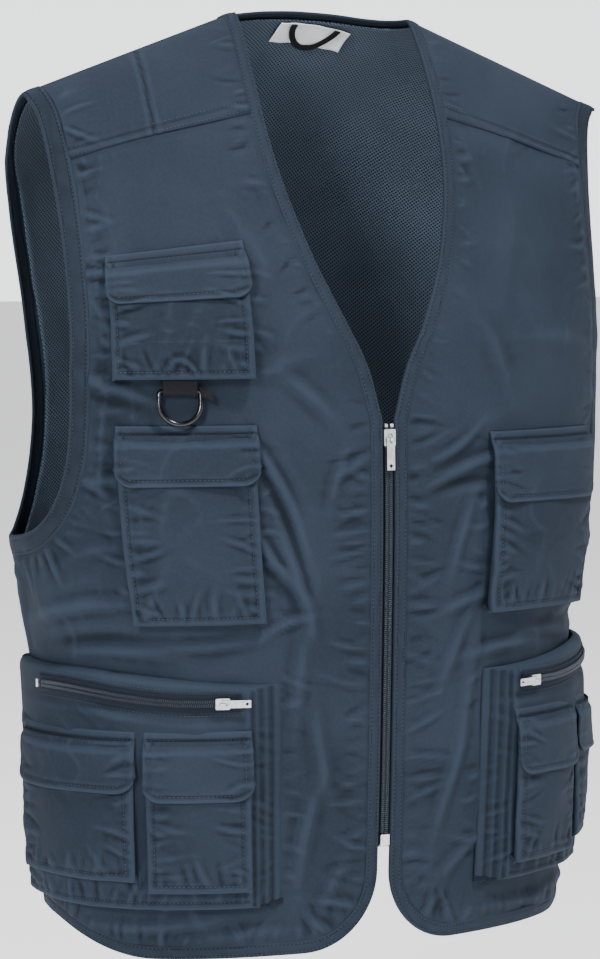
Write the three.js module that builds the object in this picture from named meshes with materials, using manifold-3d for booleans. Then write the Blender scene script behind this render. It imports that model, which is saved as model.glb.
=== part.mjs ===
// Utility work vest: a sleeveless vest in firm navy twill with a deep V neck, a front zip,
// wide armholes, three chest pockets, two large hip pockets and a D-ring on a webbing tab.
// Millimetres, +Z up. The front faces -Y and the wearer's right side is at -X.
// The origin is the point between the shoulders that carries the vest.
//
// Every cloth piece is laid on one body form. A spot on it has a turn, the angle round the
// body from the centre front (180 is the centre back), a level, the height measured along
// the cloth, and a lift, the distance out from the form.
import * as THREE from 'three';
import { mergeVertices } from 'three/addons/utils/BufferGeometryUtils.js';
import Module from 'manifold-3d';

const wasm = await Module();
wasm.setup();

// Body form
const CHEST_HALF_WIDTH = 244;
const CHEST_FRONT_DEPTH = 131;
const CHEST_BACK_DEPTH = 122;
const BODY_SET_BACK = 27;
const BODY_SQUARENESS = 2.3;
const BODY_LENGTH = 712;
const SHOULDER_RUN = 260;
const RIDGE_LEVEL = 60;
const NECK_HALF_WIDTH = 74;
const NECK_POINT_RISE = 43;
const NECK_CROWN = 14;
const SHOULDER_TIP = 248;
const SHOULDER_TIP_DROP = 22;
const FRONT_ARCH = 1.25;
const BACK_ARCH = 2.2;

// Outline of the garment
const V_DEPTH = 318;
const BACK_NECK_DROP = 42;
const ARMHOLE_DEPTH = 406;
const YOKE_DROP = 107;
const SIDE_SEAM = 106;
const HEM_CORNER = 58;
const HEM_SIDE_RISE = 26;

// Cloth and seams
const FRONT_COLUMNS = 10;
const CLOTH = 1.2;
const BINDING_LIFT = 0.7;
const BINDING_DEPTH = 1.9;
const EDGE_BAND = 10;
const ARMHOLE_BAND = 16;
const MESH_CLOTH = 1;
const MESH_SET_IN = 2.6;
const SEAM_GAP = 0.6;
const CURVE_GAP = 1.2;
const LAYER_GAP = 0.4;
const FOLD_RISE = 4;
const FOLD_RUN = 60;
const FOLD_SPREAD = 15;

// Steps over which the form's slope and scale are read
const SLOPE_STEP = 3;
const SCALE_STEP = 4;

// Front zip
const ZIP_GAP = 5.2;
const ZIP_FOOT = 18;
const ZIP_TOP_CLEARANCE = 6;
const COIL_HALF = 3.6;
const COIL_LIFT = 0.6;
const TAPE_HALF = 16;
const TAPE = 0.7;
const ZIP_BOX_LENGTH = 9;
const COIL_SPLIT = 0.25;
const STOP_HALF = 1.2;
const STOP_LENGTH = 2.6;
const STOP_GRIP = 1.6;

// Slider and pull, the same pattern on each zip
const SLIDER_LENGTH = 12.5;
const SLIDER_HALF = 4.8;
const SLIDER_PLATE = 1;
const SLIDER_FLANGE = 1.6;
const ARCH_INNER = 2.2;
const ARCH_WALL = 1.2;
const ARCH_WIDTH = 1.6;
const PULL_LENGTH = 24;
const PULL_HALF = 3.3;
const PULL_THICKNESS = 1;
const PULL_HOLE = 1.7;
const SLIDER_CORNER = 1.2;
const SLIDER_REST = 1;
const PULL_CORNER = 0.4;
const HIP_ZIP_SCALE = 0.85;
const HIP_ZIP_DROP = 0.7163 * BODY_LENGTH;
const HIP_ZIP_SLOPE = 10;
const HIP_ZIP_FRONT = 30;
const HIP_ZIP_BACK = 83;
const HIP_SLIDER_TURN = 2.2;
const HIP_TAPE_END = 1.5;
const HIP_TAPE_HALF = 6.5;
const HIP_COIL = 1.5;

// Pockets
const POCKET_CLOTH = 1.4;
const POCKET_EDGE_RISE = 3.4;
const CHEST_POCKET_DEPTH = 12;
const CHEST_MOUTH_DEPTH = 7;
const HIP_POCKET_DEPTH = 11;
const HIP_MOUTH_DEPTH = 9;
const SMALL_BAG_DEPTH = 8.5;
const SMALL_MOUTH_DEPTH = 6;
const HIP_MOUTH_SLOPE = 12;
const FLAP_SPREAD = 0.55;
const MOUTH_CUT = 3;
const BAG_SEAT = 0.7;
const FLAP_BEND = 1;
const FLAP_CORNER = 12;
const FLAP_SEAM = 7;

// D-ring and its webbing tab
const RING_WIRE = 2;
const RING_HALF = 15;
const RING_DROP = 24;
const RING_LEAN = 9;
const RING_TURN = -37;
const TAB_WIDTH = 25;
const WEBBING = 1.4;
const TAB_TAIL = 8;

// Neck label and hanging loop
const LABEL_WIDTH = 62;
const LABEL_HEIGHT = 27;
const LABEL_OFFSET = 16;
const LABEL_CLOTH = 0.8;
const LABEL_SET_IN = 3.3;
const LABEL_TOP_GAP = 2;
const LOOP_SPAN = 34;
const LOOP_DROP = 27;
const LOOP_WIDTH = 5;
const LOOP_CLOTH = 1;

const CHEST_LEVEL = RIDGE_LEVEL - SHOULDER_RUN;
const HEM_LEVEL = RIDGE_LEVEL - BODY_LENGTH;
const ZIP_TOP = RIDGE_LEVEL - V_DEPTH;
const ZIP_BOTTOM = HEM_LEVEL + HEM_CORNER + ZIP_FOOT;
const YOKE_LEVEL = RIDGE_LEVEL - YOKE_DROP;
const ARMPIT_LEVEL = RIDGE_LEVEL - ARMHOLE_DEPTH;
const SHOULDER_SPLIT = 92;
const LAYER_UNDER_BAND = -BINDING_DEPTH - LAYER_GAP;

// Cross-sections of the body, going down from the ridge. Down is a share of BODY_LENGTH,
// the other columns are shares of the chest sizes.
const SECTIONS = [
  { down: 0.365, width: 1.022, front: 0.977, back: 1 },
  { down: 0.563, width: 0.984, front: 1, back: 0.99 },
  { down: 0.66, width: 0.93, front: 0.99, back: 0.95 },
  { down: 0.871, width: 0.888, front: 0.954, back: 0.92 },
  { down: 1, width: 0.866, front: 0.916, back: 0.9 },
];

// Neck edge from the shoulder ridge to the top of the zip. Down is a share of V_DEPTH,
// out is a share of the way from the zip to the neck point.
const NECK_EDGE = [
  { down: 0, out: 1 },
  { down: 0.14, out: 1 },
  { down: 0.27, out: 1.01 },
  { down: 0.38, out: 0.99 },
  { down: 0.48, out: 0.9 },
  { down: 0.6, out: 0.69 },
  { down: 0.74, out: 0.39 },
  { down: 0.88, out: 0.16 },
  { down: 1, out: 0 },
];

// Back neck edge from the neck point to the centre back. Down is a share of BACK_NECK_DROP,
// out is a share of NECK_HALF_WIDTH.
const BACK_NECK_EDGE = [
  { down: 0, out: 1 },
  { down: 0.4, out: 0.95 },
  { down: 0.74, out: 0.76 },
  { down: 0.93, out: 0.42 },
  { down: 1, out: 0 },
];

// Armhole edge in front, from the side seam up to the shoulder ridge. Down is a share of
// ARMHOLE_DEPTH, turn is in degrees.
const ARMHOLE_FRONT = [
  { down: 1, turn: SIDE_SEAM },
  { down: 0.999, turn: 97 },
  { down: 0.99, turn: 87.5 },
  { down: 0.965, turn: 78 },
  { down: 0.915, turn: 70.5 },
  { down: 0.84, turn: 66 },
  { down: 0.7, turn: 63.8 },
  { down: 0.5, turn: 63.4 },
  { down: 0.32, turn: 65.3 },
  { down: 0.17, turn: 70 },
  { down: 0.07, turn: 77 },
  { down: 0, turn: 81 },
];

// Armhole edge at the back, from the shoulder ridge down to the side seam.
const ARMHOLE_BACK = [
  { down: 0, turn: 103 },
  { down: 0.1, turn: 101 },
  { down: 0.2, turn: 101.5 },
  { down: 0.3, turn: 106 },
  { down: 0.42, turn: 116.5 },
  { down: 0.58, turn: 127 },
  { down: 0.74, turn: 131 },
  { down: 0.86, turn: 129 },
  { down: 0.945, turn: 123 },
  { down: 0.99, turn: 114.5 },
  { down: 1, turn: SIDE_SEAM },
];

// Soft folds in the cloth. Turn is in degrees, with the wearer's right negative. Down is a
// share of BODY_LENGTH, long of FOLD_RUN, wide of FOLD_SPREAD and rise of FOLD_RISE. Lean is
// the fold's angle to the level, in degrees.
const FOLDS = [
  { turn: -60, down: 0.4, long: 0.5, wide: 0.8, lean: -12, rise: 0.5 },
  { turn: -60, down: 0.5, long: 0.4, wide: 0.8, lean: 6, rise: 0.4 },
  { turn: -16, down: 0.5, long: 0.9, wide: 0.7, lean: -68, rise: 0.7 },
  { turn: -13.5, down: 0.6, long: 1.1, wide: 0.8, lean: -82, rise: 0.6 },
  { turn: -13, down: 0.82, long: 1.5, wide: 0.8, lean: 86, rise: 0.6 },
  { turn: -74, down: 0.62, long: 0.8, wide: 0.9, lean: 20, rise: 0.9 },
  { turn: 17, down: 0.45, long: 0.5, wide: 0.7, lean: 25, rise: 0.6 },
  { turn: 13, down: 0.62, long: 1.2, wide: 0.8, lean: 80, rise: 0.6 },
  { turn: 13, down: 0.8, long: 1.3, wide: 0.8, lean: -84, rise: 0.5 },
  { turn: 74, down: 0.6, long: 0.9, wide: 0.9, lean: -15, rise: 0.9 },
  { turn: 150, down: 0.6, long: 1.6, wide: 1.6, lean: 80, rise: 1 },
  { turn: 205, down: 0.66, long: 1.8, wide: 1.6, lean: 96, rise: 1 },
  { turn: 178, down: 0.82, long: 1.4, wide: 1.5, lean: 70, rise: 0.8 },
];

// Rows of cloth up the side seam of a front panel, close together beside the round hem corner.
const SEAM_ROWS = [0, 0.06, 0.13, 0.22, 0.33, 0.55, 0.78];

// Patch pockets. From and to are turns in degrees. Mouth, foot and flap (the flap's lower edge)
// are shares of BODY_LENGTH down from the ridge. Gusset is the turn over which the side folds
// rise, toe the height in millimetres over which the foot fold rises, and columns the number of
// cloth columns.
const POCKETS = {
  chest_upper: { from: 22.6, to: 51.5, mouth: 0.256, foot: 0.402, flap: 0.3, gusset: 3, toe: 9, columns: 4 },
  chest_lower: { from: 22.6, to: 51.5, mouth: 0.458, foot: 0.65, flap: 0.51, gusset: 3, toe: 9, columns: 4 },
  chest_left: { from: 18.5, to: 51.5, mouth: 0.472, foot: 0.653, flap: 0.538, gusset: 3, toe: 9, columns: 4 },
  hip_main: { from: 19.5, to: 101, mouth: 0.697, foot: 0.944, gusset: 5.5, toe: 12, columns: 10 },
  hip_inner: { from: 27, to: 50.5, mouth: 0.768, foot: 0.924, flap: 0.83, gusset: 2, toe: 8, columns: 4 },
  hip_outer: { from: 53.5, to: 92, mouth: 0.768, foot: 0.913, flap: 0.822, gusset: 2, toe: 8, columns: 7 },
};

const NAVY = 0x38465a;
const NAVY_DARK = 0x2c3743;
const FINISHES = {
  twill: { color: NAVY, roughness: 0.82, metalness: 0 },
  binding: { color: 0x303c4a, roughness: 0.78, metalness: 0 },
  mesh: { color: 0x3d4957, roughness: 0.9, metalness: 0 },
  pocket: { color: 0x37444f, roughness: 0.82, metalness: 0 },
  tape: { color: NAVY_DARK, roughness: 0.85, metalness: 0 },
  coil: { color: 0x2a3442, roughness: 0.5, metalness: 0 },
  silver: { color: 0xc4c8cb, roughness: 0.28, metalness: 1 },
  gunmetal: { color: 0x2b2a2c, roughness: 0.3, metalness: 1 },
  webbing: { color: 0x17191d, roughness: 0.8, metalness: 0 },
  label: { color: 0xe9eaec, roughness: 0.6, metalness: 0 },
};

const vest = new THREE.Group();

/** Adds one named piece with a finish of its own. */
function addPiece(name, geometry, finish) {
  const piece = new THREE.Mesh(geometry, new THREE.MeshStandardMaterial(FINISHES[finish]));
  piece.name = name;
  vest.add(piece);
}

const { clamp, lerp, smoothstep, degToRad, radToDeg } = THREE.MathUtils;

/** Reads a table column by straight lines between its rows, which rise in the key column. */
function readTable(rows, key, at, column) {
  let i = 1;
  while (i < rows.length - 1 && rows[i][key] < at) i += 1;
  const share = clamp((at - rows[i - 1][key]) / (rows[i][key] - rows[i - 1][key]), 0, 1);
  return lerp(rows[i - 1][column], rows[i][column], share);
}

/** Turn from the centre front, 0 to 180, whichever side it is on. */
function foldedTurn(turn) {
  const round = Math.abs(turn) % 360;
  return round > 180 ? 360 - round : round;
}

/** Half-width of the body at a level. */
function halfWidth(level) {
  const down = (RIDGE_LEVEL - Math.min(level, CHEST_LEVEL)) / BODY_LENGTH;
  return CHEST_HALF_WIDTH * readTable(SECTIONS, 'down', down, 'width');
}

/** Height of the shoulder ridge at a distance from the centre. */
function ridgeHeight(x) {
  const out = Math.abs(x);
  const slope = (NECK_POINT_RISE + SHOULDER_TIP_DROP) / (SHOULDER_TIP - NECK_HALF_WIDTH);
  if (out > NECK_HALF_WIDTH) return NECK_POINT_RISE - slope * (out - NECK_HALF_WIDTH);
  return NECK_POINT_RISE + NECK_CROWN * (1 - (out / NECK_HALF_WIDTH) ** 2);
}

/** How far the folds lift the cloth at a spot. */
function foldLift(turn, level) {
  const perDegree = (CHEST_HALF_WIDTH + CHEST_FRONT_DEPTH) * Math.PI / 360;
  let lift = 0;
  for (const fold of FOLDS) {
    const away = ((turn - fold.turn + 540) % 360) - 180;
    const across = away * perDegree;
    const up = level - (RIDGE_LEVEL - fold.down * BODY_LENGTH);
    const lean = degToRad(fold.lean);
    const along = across * Math.cos(lean) + up * Math.sin(lean);
    const aside = up * Math.cos(lean) - across * Math.sin(lean);
    const reach = (along / (fold.long * FOLD_RUN)) ** 2 + (aside / (fold.wide * FOLD_SPREAD)) ** 2;
    lift += fold.rise * FOLD_RISE * Math.exp(-reach);
  }
  return lift;
}

/** A spot on the body form, which arches over the shoulders above the chest level. */
function skin(turn, level) {
  const down = (RIDGE_LEVEL - Math.min(level, CHEST_LEVEL)) / BODY_LENGTH;
  const s = Math.sin(degToRad(turn));
  const c = Math.cos(degToRad(turn));
  const deep = c > 0
    ? CHEST_FRONT_DEPTH * readTable(SECTIONS, 'down', down, 'front')
    : CHEST_BACK_DEPTH * readTable(SECTIONS, 'down', down, 'back');
  const wide = halfWidth(level);
  const power = 2 / BODY_SQUARENESS;
  const outX = s * deep;
  const outY = -c * wide;
  const lift = foldLift(turn, level) / Math.hypot(outX, outY);
  const x = wide * Math.sign(s) * Math.abs(s) ** power + outX * lift;
  const y = BODY_SET_BACK - deep * Math.sign(c) * Math.abs(c) ** power + outY * lift;
  if (level <= CHEST_LEVEL) return new THREE.Vector3(x, y, level);
  const round = foldedTurn(turn);
  const arch = 2 / lerp(FRONT_ARCH, BACK_ARCH, clamp((round - 65) / 50, 0, 1));
  const rise = degToRad(90 * Math.min(1, (level - CHEST_LEVEL) / SHOULDER_RUN));
  const seam = (round < SHOULDER_SPLIT ? -0.5 : 0.5) * SEAM_GAP * Math.sin(rise);
  const height = CHEST_LEVEL + (ridgeHeight(x) - CHEST_LEVEL) * Math.sin(rise) ** arch;
  return new THREE.Vector3(x, y * Math.max(0, Math.cos(rise)) ** arch + seam, height);
}

/** The direction straight out of the cloth at a spot. */
function outward(turn, level) {
  if (level >= RIDGE_LEVEL) {
    const at = skin(turn, level);
    const slope = (ridgeHeight(Math.abs(at.x) - 1) - ridgeHeight(Math.abs(at.x) + 1)) / 2;
    return new THREE.Vector3(slope * Math.sign(at.x), 0, 1).normalize();
  }
  const across = skin(turn + 0.5, level).sub(skin(turn - 0.5, level));
  const up = skin(turn, Math.min(level + SLOPE_STEP, RIDGE_LEVEL)).sub(skin(turn, level - SLOPE_STEP));
  return across.cross(up).normalize();
}

/** A point at a lift out from the form. */
function place(turn, level, lift) {
  return skin(turn, level).addScaledVector(outward(turn, level), lift);
}

/** Turn, in front or at the back of one side, of a spot at a distance from the centre. */
function turnAt(x, level, back = false) {
  const share = Math.min(1, Math.abs(x) / halfWidth(level));
  const turn = radToDeg(Math.asin(share ** (BODY_SQUARENESS / 2)));
  return Math.sign(x || 1) * (back ? 180 - turn : turn);
}

/** Level of the hem, which rises towards the side seam and runs level across the back. */
function hemLevel(turn) {
  return HEM_LEVEL + HEM_SIDE_RISE * smoothstep(foldedTurn(turn), 50, 100);
}

/** Millimetres of cloth in one degree of turn and in one unit of level. */
function clothScale({ turn, level }) {
  const low = Math.min(level, RIDGE_LEVEL - 2 * SCALE_STEP);
  return {
    across: skin(turn + 0.5, low).distanceTo(skin(turn - 0.5, low)),
    up: skin(turn, low + SCALE_STEP).distanceTo(skin(turn, low - SCALE_STEP)) / (2 * SCALE_STEP),
  };
}

/** A spot on the shoulder ridge, moved along it in the way that the turn grows. */
function besideOnRidge({ turn, level }, width) {
  const back = foldedTurn(turn) > 90;
  const x = Math.abs(skin(turn, level).x);
  const slope = (ridgeHeight(x - 1) - ridgeHeight(x + 1)) / 2;
  const moved = turnAt(x + (back === (turn <= 180) ? -1 : 1) * width / Math.hypot(1, slope), level, back);
  return { turn: turn > 180 ? 360 - moved : moved, level };
}

/** The line that runs beside a path of spots, a width away on its left hand side. */
function beside(path, width) {
  return path.map((spot, i) => {
    const before = path[Math.max(i - 1, 0)];
    const after = path[Math.min(i + 1, path.length - 1)];
    const scale = clothScale(spot);
    const across = (after.turn - before.turn) * scale.across;
    const up = (after.level - before.level) * scale.up;
    const run = Math.hypot(across, up);
    if (spot.level >= RIDGE_LEVEL) return besideOnRidge(spot, -Math.sign(up) * width);
    return {
      turn: spot.turn - up / run * width / scale.across,
      level: spot.level + across / run * width / scale.up,
    };
  });
}

/** Spots along a smooth line through a few chosen ones. */
function smoothPath(spots, steps) {
  const line = new THREE.SplineCurve(spots.map((spot) => new THREE.Vector2(spot.turn, spot.level)));
  return line.getPoints(steps).map((point) => ({ turn: point.x, level: point.y }));
}

/** The part of a rising path between two levels, cut off square at both. */
function between(path, low, high) {
  const cut = [];
  path.forEach((spot, i) => {
    const last = path[i - 1];
    for (const level of [low, high]) {
      if (last && last.level < level && spot.level > level) {
        const share = (level - last.level) / (spot.level - last.level);
        cut.push({ turn: lerp(last.turn, spot.turn, share), level });
      }
    }
    if (spot.level >= low && spot.level <= high) cut.push(spot);
  });
  return cut;
}

/** Shares of the way along a path at which its spots lie. */
function sharesOf(path) {
  const runs = [0];
  for (let i = 1; i < path.length; i += 1) {
    const step = skin(path[i].turn, path[i].level).distanceTo(skin(path[i - 1].turn, path[i - 1].level));
    runs.push(runs[i - 1] + step);
  }
  return runs.map((run) => run / runs[runs.length - 1]);
}

/** A path with its spots at other shares of the way along it. */
function respaced(path, shares) {
  const rows = sharesOf(path).map((share, i) => ({ share, ...path[i] }));
  return shares.map((share) => ({
    turn: readTable(rows, 'share', share, 'turn'),
    level: readTable(rows, 'share', share, 'level'),
  }));
}

/** Evenly spaced shares from 0 to 1. */
function even(count) {
  return Array.from({ length: count + 1 }, (_, i) => i / count);
}

/** Welds a geometry into one closed body and turns its faces outwards. */
function closed(geometry) {
  geometry.deleteAttribute('normal');
  geometry.deleteAttribute('uv');
  const body = mergeVertices(geometry, 1e-4);
  const spots = body.attributes.position;
  const index = body.index.array;
  const [a, b, c] = [new THREE.Vector3(), new THREE.Vector3(), new THREE.Vector3()];
  let volume = 0;
  for (let i = 0; i < index.length; i += 3) {
    a.fromBufferAttribute(spots, index[i]);
    b.fromBufferAttribute(spots, index[i + 1]);
    c.fromBufferAttribute(spots, index[i + 2]);
    volume += a.dot(b.cross(c));
  }
  if (volume < 0) {
    for (let i = 0; i < index.length; i += 3) [index[i], index[i + 1]] = [index[i + 1], index[i]];
  }
  return body;
}

/**
 * A block of cloth whose corners are set out by a placing function. Along, across and through
 * list the shares at which the block is divided. The function gets each corner's three shares
 * and its count along and across.
 */
function clothBlock(along, across, placing, through = [0, 1]) {
  const block = new THREE.BoxGeometry(
    1, 1, 1, along.length - 1, across.length - 1, through.length - 1);
  const spots = block.attributes.position;
  for (let k = 0; k < spots.count; k += 1) {
    const i = Math.round((spots.getX(k) + 0.5) * (along.length - 1));
    const j = Math.round((spots.getY(k) + 0.5) * (across.length - 1));
    const m = Math.round((spots.getZ(k) + 0.5) * (through.length - 1));
    const point = placing(along[i], across[j], through[m], i, j);
    spots.setXYZ(k, point.x, point.y, point.z);
  }
  return closed(block);
}

/** A strip of cloth between two lines of spots. */
function strip(edge, inner, low, high) {
  const along = even(edge.length - 1);
  return clothBlock(along, [0, 1], (s, t, w, i) => place(
    lerp(edge[i].turn, inner[i].turn, t),
    lerp(edge[i].level, inner[i].level, t),
    lerp(low, high, w),
  ));
}

/** The solid of a closed geometry, for joining and cutting. */
function solidOf(geometry) {
  const body = closed(geometry);
  return new wasm.Manifold(new wasm.Mesh({
    numProp: 3,
    vertProperties: new Float32Array(body.attributes.position.array),
    triVerts: new Uint32Array(body.index.array),
  }));
}

/** The geometry of a solid. */
function geometryOf(solid) {
  const { vertProperties, triVerts } = solid.getMesh();
  const geometry = new THREE.BufferGeometry();
  geometry.setAttribute('position', new THREE.BufferAttribute(vertProperties, 3));
  geometry.setIndex(new THREE.BufferAttribute(triVerts, 1));
  return geometry;
}

/** The same path on the wearer's right. */
function mirrored(path) {
  return path.map((spot) => ({ turn: -spot.turn, level: spot.level }));
}

// Edges of the wearer's left half. The other half is their mirror image.
const seamTurn = SEAM_GAP / 2 / clothScale({ turn: SIDE_SEAM, level: ARMPIT_LEVEL }).across;

/** Neck edge, zip edge and hem corner, from the shoulder ridge down. */
function frontEdge() {
  const neck = smoothPath(NECK_EDGE.map((row) => {
    const level = RIDGE_LEVEL - row.down * V_DEPTH;
    return { turn: turnAt(lerp(ZIP_GAP, NECK_HALF_WIDTH, row.out), level), level };
  }), 16);
  const cornerTop = HEM_LEVEL + HEM_CORNER;
  const zip = even(7).slice(1, -1).map((share) => {
    const level = lerp(ZIP_TOP, cornerTop, share);
    return { turn: turnAt(ZIP_GAP, level), level };
  });
  const corner = even(8).map((share) => {
    const angle = share * Math.PI / 2;
    const level = cornerTop - HEM_CORNER * Math.sin(angle);
    return { turn: turnAt(ZIP_GAP + HEM_CORNER * (1 - Math.cos(angle)), level), level };
  });
  return [...neck, ...zip, ...corner];
}

/** Hem edge from one turn to another. */
function hemEdge(from, to, steps) {
  return even(steps).map((share) => {
    const turn = lerp(from, to, share);
    return { turn, level: hemLevel(turn) };
  });
}

/** Armhole edge through the rows of a table. */
function armholeEdge(rows, steps, seam) {
  return smoothPath(rows.map((row) => ({
    turn: row.turn === SIDE_SEAM ? SIDE_SEAM + seam : row.turn,
    level: RIDGE_LEVEL - row.down * ARMHOLE_DEPTH,
  })), steps);
}

const frontLine = frontEdge();
const hemStart = frontLine[frontLine.length - 1].turn;
const frontHem = hemEdge(hemStart, SIDE_SEAM - seamTurn, 11);
const bindingLine = [...frontLine, ...frontHem.slice(1)];
const armholeFront = armholeEdge(ARMHOLE_FRONT, 18, -seamTurn);
const armholeBack = armholeEdge(ARMHOLE_BACK, 15, seamTurn);

/** Front panel below the yoke seam, and the yoke above it, for one side. */
function addFront(side, name) {
  const inset = EDGE_BAND + CURVE_GAP;
  const rising = beside(frontLine, inset).reverse();
  const armhole = beside(armholeFront, ARMHOLE_BAND + SEAM_GAP);
  const underArm = armhole[0];
  const bottom = hemLevel(SIDE_SEAM) + inset / clothScale({ turn: SIDE_SEAM, level: HEM_LEVEL }).up;
  const seam = SEAM_ROWS.map((share) => ({
    turn: underArm.turn,
    level: lerp(bottom, underArm.level, share),
  }));
  const panelTop = YOKE_LEVEL - SEAM_GAP / 2;
  const outer = [...seam, ...between(armhole, -Infinity, panelTop)];
  const inner = respaced(between(rising, -Infinity, panelTop), sharesOf(outer));
  const last = outer.length - 1;
  addPiece(`front_${name}`, clothBlock(even(FRONT_COLUMNS), even(last), (s, t, w, i, j) => {
    const turn = lerp(inner[j].turn, outer[j].turn, s);
    const sag = hemLevel(turn) - lerp(hemLevel(inner[j].turn), hemLevel(outer[j].turn), s);
    const level = lerp(inner[j].level, outer[j].level, s) + sag * (1 - smoothstep(t, 0, 0.3));
    return place(side * turn, level, lerp(-CLOTH, 0, w));
  }), 'twill');

  const yokeFoot = YOKE_LEVEL + SEAM_GAP / 2;
  const yokeOuter = between(armhole, yokeFoot, RIDGE_LEVEL);
  const yokeInner = respaced(between(rising, yokeFoot, RIDGE_LEVEL), sharesOf(yokeOuter));
  addPiece(`yoke_${name}`, clothBlock(even(6), even(yokeOuter.length - 1), (s, t, w, i, j) => place(
    side * lerp(yokeInner[j].turn, yokeOuter[j].turn, s),
    lerp(yokeInner[j].level, yokeOuter[j].level, s),
    lerp(-CLOTH, 0, w),
  )), 'twill');
}

/** Back neck edge from the wearer's right neck point round to the left one. */
function backNeckEdge() {
  const left = BACK_NECK_EDGE.map((row) => ({
    turn: turnAt(row.out * NECK_HALF_WIDTH || 0.001, RIDGE_LEVEL, true),
    level: RIDGE_LEVEL - row.down * BACK_NECK_DROP,
  }));
  const right = left.map((spot) => ({ turn: 360 - spot.turn, level: spot.level }));
  return smoothPath([...right, ...left.reverse().slice(1)], 10);
}

/** A sheet across the back, its edges set in from the garment's own by the given widths. */
function backSheet({ armInset, neckInset, hemInset, low, high, sideRows, armRows, sideColumns }) {
  const arm = beside(armholeBack, armInset).reverse();
  const armShares = even(armRows);
  const armhole = armRows ? respaced(arm, armShares) : arm;
  const foot = hemLevel(180) + hemInset / clothScale({ turn: 180, level: HEM_LEVEL }).up;
  const seam = even(sideRows).slice(0, -1).map((share) => ({
    turn: armhole[0].turn,
    level: lerp(foot, armhole[0].level, share),
  }));
  const edge = [...seam, ...armhole];
  const top = edge[edge.length - 1];
  const neck = beside(backNeckEdge(), neckInset).reverse();
  const wide = 360 - 2 * top.turn;
  const columns = [{ share: 0, level: RIDGE_LEVEL }];
  const addColumns = (from, to) => even(sideColumns).slice(1, -1).forEach((share) => {
    columns.push({ share: lerp(from, to, share), level: RIDGE_LEVEL });
  });
  const neckShares = neck.map((spot) => (spot.turn - top.turn) / wide);
  addColumns(0, neckShares[0]);
  neck.forEach((spot, i) => columns.push({ share: neckShares[i], level: spot.level }));
  addColumns(neckShares[neckShares.length - 1], 1);
  columns.push({ share: 1, level: RIDGE_LEVEL });
  return clothBlock(columns.map((column) => column.share), even(edge.length - 1), (s, t, w, i, j) => {
    const { turn, level } = edge[j];
    const dip = Math.max(0, (level - CHEST_LEVEL) / SHOULDER_RUN) ** 3;
    return place(
      lerp(turn, 360 - turn, s),
      level - (RIDGE_LEVEL - columns[i].level) * dip,
      lerp(low, high, w),
    );
  });
}

/** Back panel, its mesh lining and the bindings round the neck and hem. */
function addBack() {
  addPiece('back_panel', backSheet({
    armInset: ARMHOLE_BAND + SEAM_GAP,
    neckInset: EDGE_BAND + CURVE_GAP,
    hemInset: EDGE_BAND + CURVE_GAP,
    low: -CLOTH,
    high: 0,
    sideRows: 3,
    armRows: 0,
    sideColumns: 4,
  }), 'twill');
  const liningFace = -CLOTH - MESH_SET_IN;
  const tuck = 4;
  addPiece('back_lining', backSheet({
    armInset: ARMHOLE_BAND - tuck,
    neckInset: EDGE_BAND - tuck,
    hemInset: EDGE_BAND + tuck,
    low: liningFace - MESH_CLOTH,
    high: liningFace,
    sideRows: 3,
    armRows: 10,
    sideColumns: 2,
  }), 'mesh');
  const neck = backNeckEdge();
  addPiece('neck_band', strip(neck, beside(neck, EDGE_BAND), -BINDING_DEPTH, BINDING_LIFT), 'binding');
  const hem = hemEdge(SIDE_SEAM + seamTurn, 360 - SIDE_SEAM - seamTurn, 18);
  addPiece('hem_band_back', strip(hem, beside(hem, EDGE_BAND), -BINDING_DEPTH, BINDING_LIFT), 'binding');
}

/** Bindings of one side: round the armhole, and down the front and along the hem. */
function addBindings(side, name) {
  const turned = (path) => (side < 0 ? mirrored(path) : path);
  const edge = [...armholeFront, ...armholeBack.slice(1)];
  const inner = [
    ...beside(armholeFront, ARMHOLE_BAND),
    ...beside(armholeBack, ARMHOLE_BAND).slice(1),
  ];
  addPiece(`armhole_band_${name}`,
    strip(turned(edge), turned(inner), -BINDING_DEPTH, BINDING_LIFT), 'binding');
  addPiece(`front_band_${name}`, strip(
    turned(bindingLine), turned(beside(bindingLine, EDGE_BAND)), -BINDING_DEPTH, BINDING_LIFT,
  ), 'binding');
}

/** A frame at a spot: X level along the cloth, Y up, Z outwards. An upright one isn't tilted. */
function frameAt(turn, level, lift, upright = false) {
  const out = outward(turn, level);
  if (upright) out.setZ(0).normalize();
  const along = new THREE.Vector3(0, 0, 1).cross(out).normalize();
  const up = out.clone().cross(along);
  return new THREE.Matrix4().makeBasis(along, up, out).setPosition(place(turn, level, lift));
}

/** A block between two corners. */
function block(low, high) {
  const size = high.clone().sub(low);
  const box = new THREE.BoxGeometry(size.x, size.y, size.z);
  return box.translate((low.x + high.x) / 2, (low.y + high.y) / 2, (low.z + high.z) / 2);
}

/** A plate with rounded corners in the XY plane, from one Z to another. */
function roundedPlate(halfWidth_, low, high, corner, from, to, holes = []) {
  const shape = new THREE.Shape();
  shape.moveTo(-halfWidth_ + corner, low);
  shape.lineTo(halfWidth_ - corner, low);
  shape.absarc(halfWidth_ - corner, low + corner, corner, -Math.PI / 2, 0);
  shape.lineTo(halfWidth_, high - corner);
  shape.absarc(halfWidth_ - corner, high - corner, corner, 0, Math.PI / 2);
  shape.lineTo(-halfWidth_ + corner, high);
  shape.absarc(-halfWidth_ + corner, high - corner, corner, Math.PI / 2, Math.PI);
  shape.lineTo(-halfWidth_, low + corner);
  shape.absarc(-halfWidth_ + corner, low + corner, corner, Math.PI, Math.PI * 1.5);
  shape.holes.push(...holes);
  const settings = { depth: to - from, bevelEnabled: false, curveSegments: 2 };
  return new THREE.ExtrudeGeometry(shape, settings).translate(0, 0, from);
}

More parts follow.
